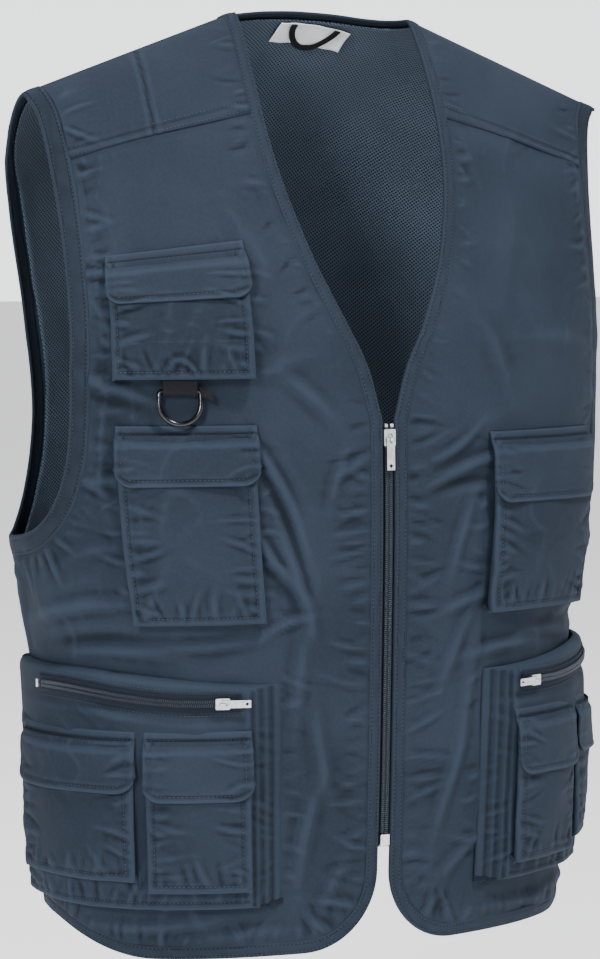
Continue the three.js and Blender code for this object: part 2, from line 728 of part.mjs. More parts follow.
const archFoot = SLIDER_PLATE + 0.75 * LAYER_GAP;
const pullAxis = archFoot + ARCH_INNER / 2;

/** Slider: a plate with side flanges that straddle the coil, and the arch that holds the pull. */
function sliderGeometry() {
  const plate = roundedPlate(
    SLIDER_HALF, -SLIDER_LENGTH / 2, SLIDER_LENGTH / 2, SLIDER_CORNER,
    -SLIDER_FLANGE, SLIDER_PLATE + LAYER_GAP,
  );
  const channel = COIL_HALF + LAYER_GAP;
  const tunnel = block(
    new THREE.Vector3(-channel, -SLIDER_LENGTH, -2 * SLIDER_FLANGE),
    new THREE.Vector3(channel, SLIDER_LENGTH, LAYER_GAP),
  );
  const ring = new THREE.Shape();
  ring.absarc(0, 0, ARCH_INNER + ARCH_WALL, 0, Math.PI);
  ring.absarc(0, 0, ARCH_INNER, Math.PI, 0, true);
  const settings = { depth: ARCH_WIDTH, bevelEnabled: false, curveSegments: 6 };
  const arch = new THREE.ExtrudeGeometry(ring, settings).translate(0, 0, -ARCH_WIDTH / 2);
  arch.rotateX(Math.PI / 2).rotateZ(Math.PI / 2);
  arch.translate(0, 0, archFoot);
  return geometryOf(solidOf(plate).subtract(solidOf(tunnel)).add(solidOf(arch)));
}

/** Pull: a plate that hangs from a bar under the arch, with a window there and a hole below. */
function pullGeometry() {
  const window = new THREE.Path();
  const reach = ARCH_INNER + ARCH_WALL + 2 * LAYER_GAP;
  const clear = ARCH_WIDTH / 2 + LAYER_GAP;
  window.moveTo(-clear, -PULL_THICKNESS / 2);
  window.lineTo(clear, -PULL_THICKNESS / 2);
  window.lineTo(clear, -reach);
  window.lineTo(-clear, -reach);
  window.closePath();
  const hole = new THREE.Path();
  hole.absarc(0, -PULL_LENGTH + PULL_HALF, PULL_HOLE, 0, Math.PI * 2, true);
  return closed(roundedPlate(
    PULL_HALF, -PULL_LENGTH, PULL_THICKNESS / 2, PULL_CORNER,
    -PULL_THICKNESS / 2, PULL_THICKNESS / 2, [window, hole],
  ));
}

/** A metal stop that sits just beyond the end of a coil, gripping it from both faces. */
function stopBlock(half) {
  return block(
    new THREE.Vector3(-half, LAYER_GAP, -STOP_GRIP),
    new THREE.Vector3(half, LAYER_GAP + STOP_LENGTH, LAYER_GAP),
  );
}

/** Front zip: tapes, coil halves, slider, pull, box and top stops. */
function addFrontZip() {
  const coilTop = ZIP_TOP - ZIP_TOP_CLEARANCE;
  const coilFoot = ZIP_BOTTOM + ZIP_BOX_LENGTH + LAYER_GAP;
  const rows = even(9);
  for (const [side, name] of [[-1, 'right'], [1, 'left']]) {
    const band = (from, to, foot, head, low, high) => clothBlock([0, 1], rows, (s, t, w) => {
      const level = lerp(foot, head, t);
      return place(side * turnAt(lerp(from, to, s), level), level, lerp(low, high, w));
    });
    const tapeTop = LAYER_UNDER_BAND;
    addPiece(`zip_tape_${name}`,
      band(COIL_SPLIT, TAPE_HALF, ZIP_BOTTOM, coilTop, tapeTop - TAPE, tapeTop), 'tape');
    addPiece(`zip_coil_${name}`,
      band(COIL_SPLIT, COIL_HALF, coilFoot, coilTop, tapeTop + LAYER_GAP, COIL_LIFT), 'coil');
    const at = frameAt(side * turnAt(COIL_HALF - STOP_HALF, coilTop), coilTop, COIL_LIFT);
    addPiece(`zip_top_stop_${name}`, closed(stopBlock(STOP_HALF).applyMatrix4(at)), 'silver');
  }
  const pin = roundedPlate(
    COIL_HALF + COIL_SPLIT, 0, ZIP_BOX_LENGTH, 1, LAYER_GAP - BINDING_DEPTH - COIL_LIFT, BINDING_LIFT);
  addPiece('zip_box', closed(pin.applyMatrix4(frameAt(0, ZIP_BOTTOM, COIL_LIFT))), 'silver');
  const slider = frameAt(0, coilTop - SLIDER_LENGTH / 2 - SLIDER_REST, COIL_LIFT);
  addPiece('zip_slider', sliderGeometry().applyMatrix4(slider), 'silver');
  const pull = pullGeometry().translate(0, 0, pullAxis).applyMatrix4(slider);
  addPiece('zip_pull', pull, 'silver');
}

/**
 * A patch pocket from a row of POCKETS. Side is -1 on the wearer's right, ground gives the lift
 * of the cloth below it, depth and mouthDepth are its depths at the foot and mouth, shut closes
 * its top, and mouthSlope is how far its mouth dips towards the front.
 */
class Pocket {
  constructor(name, sizes) {
    Object.assign(this, { ground: () => 0, shut: false, mouthSlope: 0 }, POCKETS[name], sizes);
    for (const edge of ['mouth', 'foot', 'flap']) this[edge] = RIDGE_LEVEL - this[edge] * BODY_LENGTH;
  }

  /** Lift of the front face at a spot. */
  rise(turn, level) {
    const up = clamp((level - this.foot) / (this.mouth - this.foot), 0, 1);
    const full = lerp(this.depth, this.mouthDepth, up);
    const inFromSide = Math.min(turn - this.from, this.to - turn) / this.gusset;
    const inFromFoot = (level - this.foot) / this.toe;
    const share = clamp(Math.min(inFromSide, inFromFoot), 0, 1);
    return this.ground(turn, level) + lerp(POCKET_EDGE_RISE, full, share);
  }

  /** Level of the mouth, which may dip towards the front. */
  mouthAt(turn) {
    const back = (turn - this.from) / (this.to - this.from);
    return this.mouth - this.mouthSlope * (1 - smoothstep(back, 0, 0.65));
  }

  /** The bag: a front with its folds and an open back against the cloth, hollow inside. */
  bag() {
    const wide = this.to - this.from;
    const high = this.mouth - this.foot;
    const sides = even(this.columns).slice(1, -1);
    const fold = this.gusset / wide;
    const along = [0, fold, ...sides.map((s) => lerp(fold, 1 - fold, s)), 1 - fold, 1];
    const across = [0, this.toe / high, 0.5, 1];
    const outer = clothBlock(along, across, (s, t, w) => {
      const turn = this.from + s * wide;
      const level = lerp(this.foot, this.mouthAt(turn), t);
      const base = this.ground(turn, level) + BAG_SEAT;
      return place(this.side * turn, level, lerp(base, this.rise(turn, level), w));
    });
    const wall = POCKET_CLOTH;
    const scale = clothScale({ turn: (this.from + this.to) / 2, level: this.foot });
    const wallTurn = wall / scale.across;
    const headroom = this.shut ? -wall : MOUTH_CUT;
    const inner = clothBlock(along, across, (s, t, w) => {
      const turn = lerp(this.from + wallTurn, this.to - wallTurn, s);
      const level = lerp(this.foot + wall, this.mouthAt(turn) + headroom, t);
      const onFace = clamp(level, this.foot, this.mouth);
      const base = this.ground(turn, onFace) - MOUTH_CUT;
      return place(this.side * turn, level, lerp(base, this.rise(turn, onFace) - wall, w));
    });
    return geometryOf(solidOf(outer).subtract(solidOf(inner)));
  }

  /** The flap: sewn on above the mouth, lying over the bag, with rounded lower corners. */
  cover() {
    const head = this.mouth + FLAP_SEAM;
    const from = this.from - FLAP_SPREAD;
    const to = this.to + FLAP_SPREAD;
    const scale = clothScale({ turn: (from + to) / 2, level: this.flap });
    const corner = FLAP_CORNER / scale.across / (to - from);
    const middle = even(this.columns - 1).slice(1, -1);
    const along = [
      0, corner * 0.3, corner, ...middle.map((s) => lerp(corner, 1 - corner, s)),
      1 - corner, 1 - corner * 0.3, 1,
    ];
    return clothBlock(along, [0, 1, 2], (s, t, w) => {
      const turn = lerp(from, to, s);
      const over = clamp(turn, this.from + this.gusset, this.to - this.gusset);
      const inset = clamp(Math.min(s, 1 - s) / corner, 0, 1);
      const low = this.flap + FLAP_CORNER * (1 - Math.sqrt(1 - (1 - inset) ** 2));
      const level = t > 1 ? head : lerp(low, this.mouth + FLAP_BEND, t);
      const base = t > 1
        ? this.ground(turn, level) + 2 * LAYER_GAP
        : this.rise(over, Math.min(level, this.mouth)) + 1.5 * LAYER_GAP;
      return place(this.side * turn, level, base + w * POCKET_CLOTH);
    });
  }
}

/** Adds the chest pockets with their flaps: two on the wearer's right, one on the left. */
function addChestPockets() {
  for (const [name, side] of [['chest_upper', -1], ['chest_lower', -1], ['chest_left', 1]]) {
    const pocket = new Pocket(name, { side, depth: CHEST_POCKET_DEPTH, mouthDepth: CHEST_MOUTH_DEPTH });
    addPiece(`${name}_bag`, pocket.bag(), 'pocket');
    addPiece(`${name}_flap`, pocket.cover(), 'twill');
  }
}

/** D-ring on a folded webbing tab below the upper chest pocket. */
function addRing() {
  const bottom = RIDGE_LEVEL - POCKETS.chest_upper.foot * BODY_LENGTH;
  const loop = RING_WIRE + LAYER_GAP;
  const barLift = 2 * LAYER_GAP + loop + WEBBING;
  const frame = frameAt(RING_TURN, bottom - TAB_TAIL - LAYER_GAP, barLift);
  const profile = new THREE.Shape();
  const outer = loop + WEBBING;
  profile.moveTo(-outer, TAB_TAIL);
  profile.lineTo(-outer, 0);
  profile.absarc(0, 0, outer, Math.PI, Math.PI * 2.25);
  profile.lineTo(-outer + 2 * WEBBING, TAB_TAIL * 0.6);
  profile.lineTo(-outer + 2 * WEBBING, TAB_TAIL);
  profile.closePath();
  const hole = new THREE.Path();
  hole.absarc(0, 0, loop, 0, Math.PI * 2, true);
  profile.holes.push(hole);
  const settings = { depth: TAB_WIDTH, bevelEnabled: false, curveSegments: 6 };
  const tab = new THREE.ExtrudeGeometry(profile, settings).translate(0, 0, -TAB_WIDTH / 2);
  tab.rotateY(-Math.PI / 2).applyMatrix4(new THREE.Matrix4().makeScale(1, 1, -1));
  addPiece('d_ring_tab', closed(tab.applyMatrix4(frame)), 'webbing');

  const wire = new THREE.Shape();
  wire.absarc(0, 0, RING_WIRE, 0, Math.PI * 2);
  const bow = [];
  const straight = RING_DROP - RING_HALF;
  for (const share of even(10)) {
    const angle = -Math.PI * share;
    bow.push(new THREE.Vector3(RING_HALF * Math.cos(angle), RING_HALF * Math.sin(angle) - straight, 0));
  }
  const ends = [new THREE.Vector3(RING_HALF, 0, 0), new THREE.Vector3(-RING_HALF, 0, 0)];
  const line = new THREE.CatmullRomCurve3([ends[0], ...bow, ends[1]]);
  const bend = new THREE.ExtrudeGeometry(wire, { steps: 16, extrudePath: line, curveSegments: 4 });
  const bar = new THREE.CylinderGeometry(RING_WIRE, RING_WIRE, 2 * RING_HALF + 2 * RING_WIRE, 8);
  const ring = geometryOf(solidOf(bend).add(solidOf(bar.rotateZ(Math.PI / 2))));
  addPiece('d_ring', ring.rotateX(-degToRad(RING_LEAN)).applyMatrix4(frame), 'gunmetal');
}

/** Hip pocket of one side: a large bellows pocket with a zip, and two small flapped bags on it. */
function addHipPocket(side, name) {
  const main = new Pocket('hip_main', {
    side, shut: true, depth: HIP_POCKET_DEPTH, mouthDepth: HIP_MOUTH_DEPTH, mouthSlope: HIP_MOUTH_SLOPE,
  });
  addPiece(`hip_${name}_bag`, main.bag(), 'pocket');
  const ground = (turn, level) => main.rise(turn, level);
  for (const part of ['inner', 'outer']) {
    const small = new Pocket(`hip_${part}`, {
      side, ground, depth: SMALL_BAG_DEPTH, mouthDepth: SMALL_MOUTH_DEPTH,
    });
    addPiece(`hip_${name}_${part}_bag`, small.bag(), 'pocket');
    addPiece(`hip_${name}_${part}_flap`, small.cover(), 'twill');
  }
  addHipZip(side, name, ground);
}

/** Zip across the top of a hip pocket, with its pull lying towards the front. */
function addHipZip(side, name, ground) {
  const coilHalf = COIL_HALF * HIP_ZIP_SCALE;
  const levelAt = (turn) => {
    const along = (turn - HIP_ZIP_FRONT) / (HIP_ZIP_BACK - HIP_ZIP_FRONT);
    return RIDGE_LEVEL - HIP_ZIP_DROP - HIP_ZIP_SLOPE * (1 - smoothstep(along, 0.15, 0.9));
  };
  const band = (half, from, to, low, high) => clothBlock(even(10), [0, 1], (s, t, w) => {
    const turn = lerp(from, to, s);
    const level = levelAt(turn) + lerp(-half, half, t);
    return place(side * turn, level, ground(turn, level) + lerp(low, high, w));
  });
  const coilLow = LAYER_GAP + TAPE + LAYER_GAP;
  const coilTop = coilLow + HIP_COIL;
  const front = HIP_ZIP_FRONT - HIP_TAPE_END;
  const back = HIP_ZIP_BACK + HIP_TAPE_END;
  addPiece(`hip_${name}_zip_tape`, band(HIP_TAPE_HALF, front, back, LAYER_GAP, LAYER_GAP + TAPE), 'tape');
  addPiece(`hip_${name}_zip_coil`,
    band(coilHalf, HIP_ZIP_FRONT, HIP_ZIP_BACK, coilLow, coilTop), 'coil');
  const seat = (turn) => {
    const level = levelAt(turn);
    const frame = frameAt(side * turn, level, ground(turn, level) + coilTop, true);
    return frame.multiply(new THREE.Matrix4().makeRotationZ(-side * Math.PI / 2));
  };
  const stop = stopBlock(coilHalf).applyMatrix4(seat(HIP_ZIP_BACK));
  addPiece(`hip_${name}_zip_stop`, closed(stop), 'silver');
  const slider = seat(HIP_ZIP_FRONT + HIP_SLIDER_TURN);
  const sized = (geometry) => geometry.scale(HIP_ZIP_SCALE, HIP_ZIP_SCALE, HIP_ZIP_SCALE);
  addPiece(`hip_${name}_zip_slider`, sized(sliderGeometry()).applyMatrix4(slider), 'silver');
  const pull = sized(pullGeometry().translate(0, 0, pullAxis)).applyMatrix4(slider);
  addPiece(`hip_${name}_zip_pull`, pull, 'silver');
}

/** Label and hanging loop inside the back of the neck. */
function addLabel() {
  const liningFace = -CLOTH - MESH_SET_IN - MESH_CLOTH;
  const top = RIDGE_LEVEL - BACK_NECK_DROP - EDGE_BAND / 2 - LABEL_TOP_GAP;
  const labelFace = liningFace - LABEL_SET_IN;
  const label = clothBlock(even(6), even(3), (s, t, w) => {
    const x = LABEL_OFFSET + (s - 0.5) * LABEL_WIDTH;
    const level = top - (1 - t) * LABEL_HEIGHT;
    const turn = 180 - Math.sign(x) * (180 - turnAt(Math.abs(x), level, true));
    return place(turn, level, labelFace - w * LABEL_CLOTH);
  });
  addPiece('neck_label', label, 'label');
  const loopFace = labelFace - LABEL_CLOTH - LAYER_GAP;
  const line = even(12).map((share) => {
    const x = LABEL_OFFSET + (share - 0.5) * LOOP_SPAN;
    const level = top - LOOP_DROP * Math.sin(Math.PI * share) ** 0.8;
    return { turn: 180 - Math.sign(x) * (180 - turnAt(Math.abs(x), level, true)), level };
  });
  addPiece('hang_loop', strip(line, beside(line, LOOP_WIDTH), loopFace - LOOP_CLOTH, loopFace), 'webbing');
}

for (const [side, name] of [[-1, 'right'], [1, 'left']]) {
  addFront(side, name);
  addBindings(side, name);
}
addBack();
addFrontZip();
addChestPockets();
addRing();
addHipPocket(-1, 'right');
addHipPocket(1, 'left');
addLabel();

export default vest;
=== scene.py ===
"""Looks of a utility work vest: navy twill, mesh lining, zips, patch pockets and a D-ring.

Sizes are in millimetres and points in metres, +Z up. The front faces -Y and the wearer's
right side is at -X. A spot on the cloth has a turn, the angle round the body from the centre
front, a level, the height measured along the cloth, and a lift, the distance out from it.
"""

import logging
import math
from dataclasses import dataclass, field
from enum import Enum
from functools import cached_property
from typing import Any, Callable, Sequence

import bmesh
import bpy
import numpy as np
from mathutils import Matrix, Vector


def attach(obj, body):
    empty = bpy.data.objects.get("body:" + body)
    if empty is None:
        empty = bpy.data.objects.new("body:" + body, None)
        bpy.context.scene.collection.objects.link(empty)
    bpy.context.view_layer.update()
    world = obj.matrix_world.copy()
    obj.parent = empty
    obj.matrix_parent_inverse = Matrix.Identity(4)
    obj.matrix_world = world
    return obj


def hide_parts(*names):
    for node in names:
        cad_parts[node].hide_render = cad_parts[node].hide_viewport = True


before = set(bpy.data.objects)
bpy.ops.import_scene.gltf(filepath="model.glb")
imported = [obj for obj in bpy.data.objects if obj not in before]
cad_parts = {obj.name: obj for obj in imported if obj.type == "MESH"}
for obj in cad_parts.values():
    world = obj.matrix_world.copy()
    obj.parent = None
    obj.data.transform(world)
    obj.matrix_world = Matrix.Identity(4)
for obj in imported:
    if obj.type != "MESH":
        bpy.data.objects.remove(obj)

LOG = logging.getLogger("work_vest")
MM = 0.001
CREST_BEND = 0.12
Array = np.ndarray
Colour = tuple[float, float, float]


class Side(Enum):
    """The wearer's two sides, with the sign that a turn has there."""

    RIGHT = -1
    LEFT = 1

    @property
    def word(self) -> str:
        """The side's name, as the nodes use it."""
        return self.name.lower()


def smoothstep(at: Array, low: float, high: float) -> Array:
    """Rises smoothly from 0 at low to 1 at high."""
    share = np.clip((np.asarray(at, float) - low) / (high - low), 0, 1)
    return share * share * (3 - 2 * share)


def blend(a: Any, b: Any, share: Any) -> Any:
    """The value a share of the way from a to b."""
    return a + (b - a) * share


def swell(away: Array, wide: float) -> Array:
    """A soft swelling: 1 where away is 0, and fading over a width on both sides."""
    return np.exp(-((away / wide) ** 2))


def smooth_read(xs: Sequence[float], ys: Sequence[float], at: Array) -> Array:
    """Reads a table by a smooth line through its rows.

    Args:
        xs: Rising key column.
        ys: Value column.
        at: Keys to read.

    Returns:
        The values at those keys.
    """
    keys, values = np.asarray(xs, float), np.asarray(ys, float)
    slopes = np.gradient(values, keys)
    at = np.clip(at, keys[0], keys[-1])
    i = np.clip(np.searchsorted(keys, at) - 1, 0, len(keys) - 2)
    run = keys[i + 1] - keys[i]
    t = (at - keys[i]) / run
    bend = t * t * (3 - 2 * t)
    low = slopes[i] * run * t * (1 - t) ** 2
    high = slopes[i + 1] * run * t * t * (t - 1)
    return values[i] + (values[i + 1] - values[i]) * bend + low + high


def spline(points: Sequence[Sequence[float]], count: int) -> Array:
    """Points along a smooth line through a few chosen ones.

    Args:
        points: Rows of turn and level.
        count: Number of steps.

    Returns:
        An array of count + 1 rows.
    """
    rows = np.asarray(points, float)
    place = np.linspace(0, 1, count + 1) * (len(rows) - 1)
    i = np.minimum(place.astype(int), len(rows) - 2)
    t = (place - i)[:, None]
    before, after = rows[np.maximum(i - 1, 0)], rows[np.minimum(i + 2, len(rows) - 1)]
    a, b = rows[i], rows[i + 1]
    slope_a, slope_b = (b - before) / 2, (after - a) / 2
    cube = (2 * a - 2 * b + slope_a + slope_b) * t**3
    square = (-3 * a + 3 * b - 2 * slope_a - slope_b) * t**2
    return cube + square + slope_a * t + a


@dataclass(frozen=True)
class Fold:
    """One soft fold: where it lies, its reach and its rise, as shares of the fold sizes."""

    turn: float
    down: float
    long: float
    wide: float
    lean: float
    rise: float


@dataclass(frozen=True)
class BodyForm:
    """The shape on which all the cloth is laid, arched over the shoulders."""

    half_width: float = 244
    front_depth: float = 131
    back_depth: float = 122
    set_back: float = 27
    squareness: float = 2.3
    length: float = 712
    shoulder_run: float = 260
    ridge: float = 60
    neck_half: float = 74
    neck_rise: float = 43
    neck_crown: float = 14
    tip: float = 248
    tip_drop: float = 22
    front_arch: float = 1.25
    back_arch: float = 2.2
    down: tuple[float, ...] = (0.365, 0.563, 0.66, 0.871, 1)
    width: tuple[float, ...] = (1.022, 0.984, 0.93, 0.888, 0.866)
    front: tuple[float, ...] = (0.977, 1, 0.99, 0.954, 0.916)
    back: tuple[float, ...] = (1, 0.99, 0.95, 0.92, 0.9)
    fold_rise: float = 4
    fold_run: float = 60
    fold_spread: float = 15
    folds: tuple[Fold, ...] = (
        Fold(-60, 0.4, 0.5, 0.8, -12, 0.5),
        Fold(-60, 0.5, 0.4, 0.8, 6, 0.4),
        Fold(-16, 0.5, 0.9, 0.7, -68, 0.7),
        Fold(-13.5, 0.6, 1.1, 0.8, -82, 0.6),
        Fold(-13, 0.82, 1.5, 0.8, 86, 0.6),
        Fold(-74, 0.62, 0.8, 0.9, 20, 0.9),
        Fold(17, 0.45, 0.5, 0.7, 25, 0.6),
        Fold(13, 0.62, 1.2, 0.8, 80, 0.6),
        Fold(13, 0.8, 1.3, 0.8, -84, 0.5),
        Fold(74, 0.6, 0.9, 0.9, -15, 0.9),
        Fold(150, 0.6, 1.6, 1.6, 80, 1),
        Fold(205, 0.66, 1.8, 1.6, 96, 1),
        Fold(178, 0.82, 1.4, 1.5, 70, 0.8),
    )

    @property
    def chest(self) -> float:
        """The level above which the form arches over the shoulders."""
        return self.ridge - self.shoulder_run

    @property
    def hem(self) -> float:
        """The level of the hem at the centre front."""
        return self.ridge - self.length

    def reach(self, level: Array) -> Array:
        """Half-width of the body at a level."""
        down = (self.ridge - np.minimum(level, self.chest)) / self.length
        return self.half_width * smooth_read(self.down, self.width, down)

    def ridge_height(self, x: Array) -> Array:
        """Height of the shoulder ridge at a distance from the centre."""
        out = np.abs(x)
        slope = (self.neck_rise + self.tip_drop) / (self.tip - self.neck_half)
        crown = self.neck_rise + self.neck_crown * (1 - (out / self.neck_half) ** 2)
        return np.where(out > self.neck_half, self.neck_rise - slope * (out - self.neck_half), crown)

    def base(self, turn: Array, level: Array) -> Array:
        """Points of the plain form, in millimetres.

        Args:
            turn: Turns in degrees.
            level: Levels, of the same shape.

        Returns:
            Points along a new last axis.
        """
        turn, level = np.broadcast_arrays(np.asarray(turn, float), np.asarray(level, float))
        down = (self.ridge - np.minimum(level, self.chest)) / self.length
        s, c = np.sin(np.radians(turn)), np.cos(np.radians(turn))
        front = self.front_depth * smooth_read(self.down, self.front, down)
        back = self.back_depth * smooth_read(self.down, self.back, down)
        power = 2 / self.squareness
        x = self.reach(level) * np.sign(s) * np.abs(s) ** power
        y = self.set_back - np.where(c > 0, front, back) * np.sign(c) * np.abs(c) ** power
        turned = np.abs(turn) % 360
        turned = np.where(turned > 180, 360 - turned, turned)
        arch = 2 / blend(self.front_arch, self.back_arch, np.clip((turned - 65) / 50, 0, 1))
        rise = np.clip((level - self.chest) / self.shoulder_run, 0, 1) * math.pi / 2
        over = level > self.chest
        seam = np.where(turned < 92, -0.3, 0.3) * np.sin(rise)
        height = self.chest + (self.ridge_height(x) - self.chest) * np.sin(rise) ** arch
        y = np.where(over, y * np.cos(rise) ** arch + seam, y)
        return np.stack([x, y, np.where(over, height, level)], axis=-1)

    def outward(self, turn: Array, level: Array) -> Array:
        """Unit directions straight out of the cloth."""
        turn, level = np.broadcast_arrays(np.asarray(turn, float), np.asarray(level, float))
        across = self.base(turn + 0.5, level) - self.base(turn - 0.5, level)
        high = np.minimum(level + 3, self.ridge)
        out = np.cross(across, self.base(turn, high) - self.base(turn, level - 3))
        at = self.base(turn, level)[..., 0]
        slope = (self.ridge_height(np.abs(at) - 1) - self.ridge_height(np.abs(at) + 1)) / 2
        top = np.stack([slope * np.sign(at), np.zeros_like(at), np.ones_like(at)], axis=-1)
        out = np.where((level >= self.ridge - 1e-6)[..., None], top, out)
        return out / np.linalg.norm(out, axis=-1, keepdims=True)

    def fold_lift(self, turn: Array, level: Array) -> Array:
        """How far the soft folds lift the cloth, in millimetres."""
        per_degree = (self.half_width + self.front_depth) * math.pi / 360
        climbed = self.climb(turn, level)
        total = np.zeros(climbed.shape)
        for fold in self.folds:
            across = ((turn - fold.turn + 540) % 360 - 180) * per_degree
            up = climbed - (self.ridge - fold.down * self.length)
            lean = math.radians(fold.lean)
            along = across * math.cos(lean) + up * math.sin(lean)
            aside = up * math.cos(lean) - across * math.sin(lean)
            far = (along / (fold.long * self.fold_run)) ** 2
            far = far + (aside / (fold.wide * self.fold_spread)) ** 2
            total += fold.rise * self.fold_rise * np.exp(-far)
        return total

    def place(self, turn: Array, level: Array, lift: Array = 0.0) -> Array:
        """Points in metres, at a lift out from the folded form."""
        out = self.fold_lift(turn, level) + lift
        return (self.base(turn, level) + self.outward(turn, level) * out[..., None]) * MM

    @cached_property
    def arcs(self) -> Array:
        """Lengths of cloth from the chest up: a row to a degree of turn, 131 levels across."""
        turn, level = np.arange(181.0)[:, None], np.linspace(self.chest, self.ridge, 131)[None, :]
        steps = np.linalg.norm(np.diff(self.base(turn, level), axis=1), axis=-1)
        return np.concatenate([np.zeros((181, 1)), np.cumsum(steps, axis=1)], axis=1)

    def climb(self, turn: Array, level: Array) -> Array:
        """Levels with the true distance along the cloth above the chest."""
        turn, level = np.broadcast_arrays(np.asarray(turn, float), np.asarray(level, float))
        away = np.abs(turn) % 360
        away = np.where(away > 180, 360 - away, away)
        place = np.clip((level - self.chest) / self.shoulder_run, 0, 1) * 130
        i, j = np.minimum(away.astype(int), 179), np.minimum(place.astype(int), 129)
        low = blend(self.arcs[i, j], self.arcs[i, j + 1], place - j)
        high = blend(self.arcs[i + 1, j], self.arcs[i + 1, j + 1], place - j)
        return np.minimum(level, self.chest) + blend(low, high, away - i)

    def level_of(self, turn: Array, climbed: Array) -> Array:
        """Level at which a true distance along the cloth is reached."""
        turn, climbed = np.broadcast_arrays(np.asarray(turn, float), np.asarray(climbed, float))
        low, high = np.full(turn.shape, self.chest), np.full(turn.shape, self.ridge)
        for _ in range(24):
            middle = (low + high) / 2
            short = self.climb(turn, middle) < climbed
            low, high = np.where(short, middle, low), np.where(short, high, middle)
        return np.where(climbed <= self.chest, climbed, high)

    def turn_at(self, x: Array, level: Array, back: bool = False) -> Array:
        """Turn of a spot at a distance from the centre, in front or at the back."""
        share = np.minimum(1, np.abs(x) / self.reach(level))
        turn = np.degrees(np.arcsin(share ** (self.squareness / 2)))
        return np.where(np.asarray(x) < 0, -1, 1) * (180 - turn if back else turn)

    def scale(self, turn: Array, level: Array) -> tuple[Array, Array]:
        """Millimetres of cloth in one degree of turn and in one unit of level."""
        low = np.minimum(level, self.ridge - 8)
        across = np.linalg.norm(self.base(turn + 0.5, low) - self.base(turn - 0.5, low), axis=-1)
        up = np.linalg.norm(self.base(turn, low + 4) - self.base(turn, low - 4), axis=-1) / 8
        return across, up

    def nearest(self, points: Array, turn: Array, level: Array) -> Array:
        """Spots of the form nearest to some points.

        Args:
            points: Points in millimetres.
            turn: First guess of their turns.
            level: First guess of their levels.

        Returns:
            Rows of turn and level.
        """
        for _ in range(12):
            high, low = np.minimum(level + 2, self.ridge), level - 2
            a = self.base(turn + 0.5, level) - self.base(turn - 0.5, level)
            b = (self.base(turn, high) - self.base(turn, low)) / (high - low)[:, None]
            gap = points - self.base(turn, level)
            aa, ab, bb = (a * a).sum(1), (a * b).sum(1), (b * b).sum(1)
            ga, gb = (gap * a).sum(1), (gap * b).sum(1)
            whole = np.maximum(aa * bb - ab * ab, 1e-9)
            turn = turn + np.clip((ga * bb - gb * ab) / whole, -4, 4) * 0.8
            level = np.minimum(level + np.clip((gb * aa - ga * ab) / whole, -8, 8) * 0.8, self.ridge)
        return np.stack([turn, level], 1)

    def beside(self, path: Array, width: float) -> Array:
        """The line beside a path, a width away on its left hand side.

        Args:
            path: Rows of turn and level.
            width: Distance in millimetres along the cloth.

        Returns:
            A path with as many rows.
        """
        turn, level = path[:, 0], path[:, 1]
        points = self.base(turn, level)
        aside = np.cross(self.outward(turn, level), np.gradient(points, axis=0))
        aside /= np.linalg.norm(aside, axis=1, keepdims=True)
        moved = self.nearest(points + aside * width, turn, level)
        up = np.gradient(level)
        x = np.abs(self.base(turn, level)[:, 0])
        slope = (self.ridge_height(x - 1) - self.ridge_height(x + 1)) / 2
        round_turn = np.where(turn > 180, 360 - turn, np.abs(turn))
        back = round_turn > 90
        way = np.where(back == (turn <= 180), -1, 1) * -np.sign(up) * width / np.hypot(1, slope)
        front_turn = np.abs(self.turn_at(x + way, level))
        on_top = np.where(back, 180 - front_turn, front_turn) * np.where(turn < 0, -1, 1)
        on_top = np.where(turn > 180, 360 - on_top, on_top)
        at_ridge = level >= self.ridge - 1e-6
        return np.stack([np.where(at_ridge, on_top, moved[:, 0]), np.where(at_ridge, level, moved[:, 1])], 1)

    def shares(self, path: Array) -> Array:
        """Shares of the way along a path at which its spots lie."""
        points = self.base(path[:, 0], path[:, 1])
        run = np.concatenate([[0], np.cumsum(np.linalg.norm(np.diff(points, axis=0), axis=1))])
        return run / run[-1]

    def respaced(self, path: Array, shares: Array) -> Array:
        """A path with its spots at other shares of the way along it."""
        return read_rows(shares, self.shares(path), path)

    def run(self, path: Array) -> float:
        """Length of a path in millimetres."""
        return float(np.linalg.norm(np.diff(self.base(path[:, 0], path[:, 1]), axis=0), axis=1).sum())


FORM = BodyForm()


def smooth_path(spots: Array, count: int) -> Array:
    """A smooth line over the cloth through rows of turn and level, as count + 1 such rows."""
    line = spline(np.stack([spots[:, 0], FORM.climb(spots[:, 0], spots[:, 1])], 1), count)
    path = np.stack([line[:, 0], FORM.level_of(line[:, 0], line[:, 1])], 1)
    path[0], path[-1] = spots[0], spots[-1]
    return FORM.respaced(path, np.linspace(0, 1, count + 1))


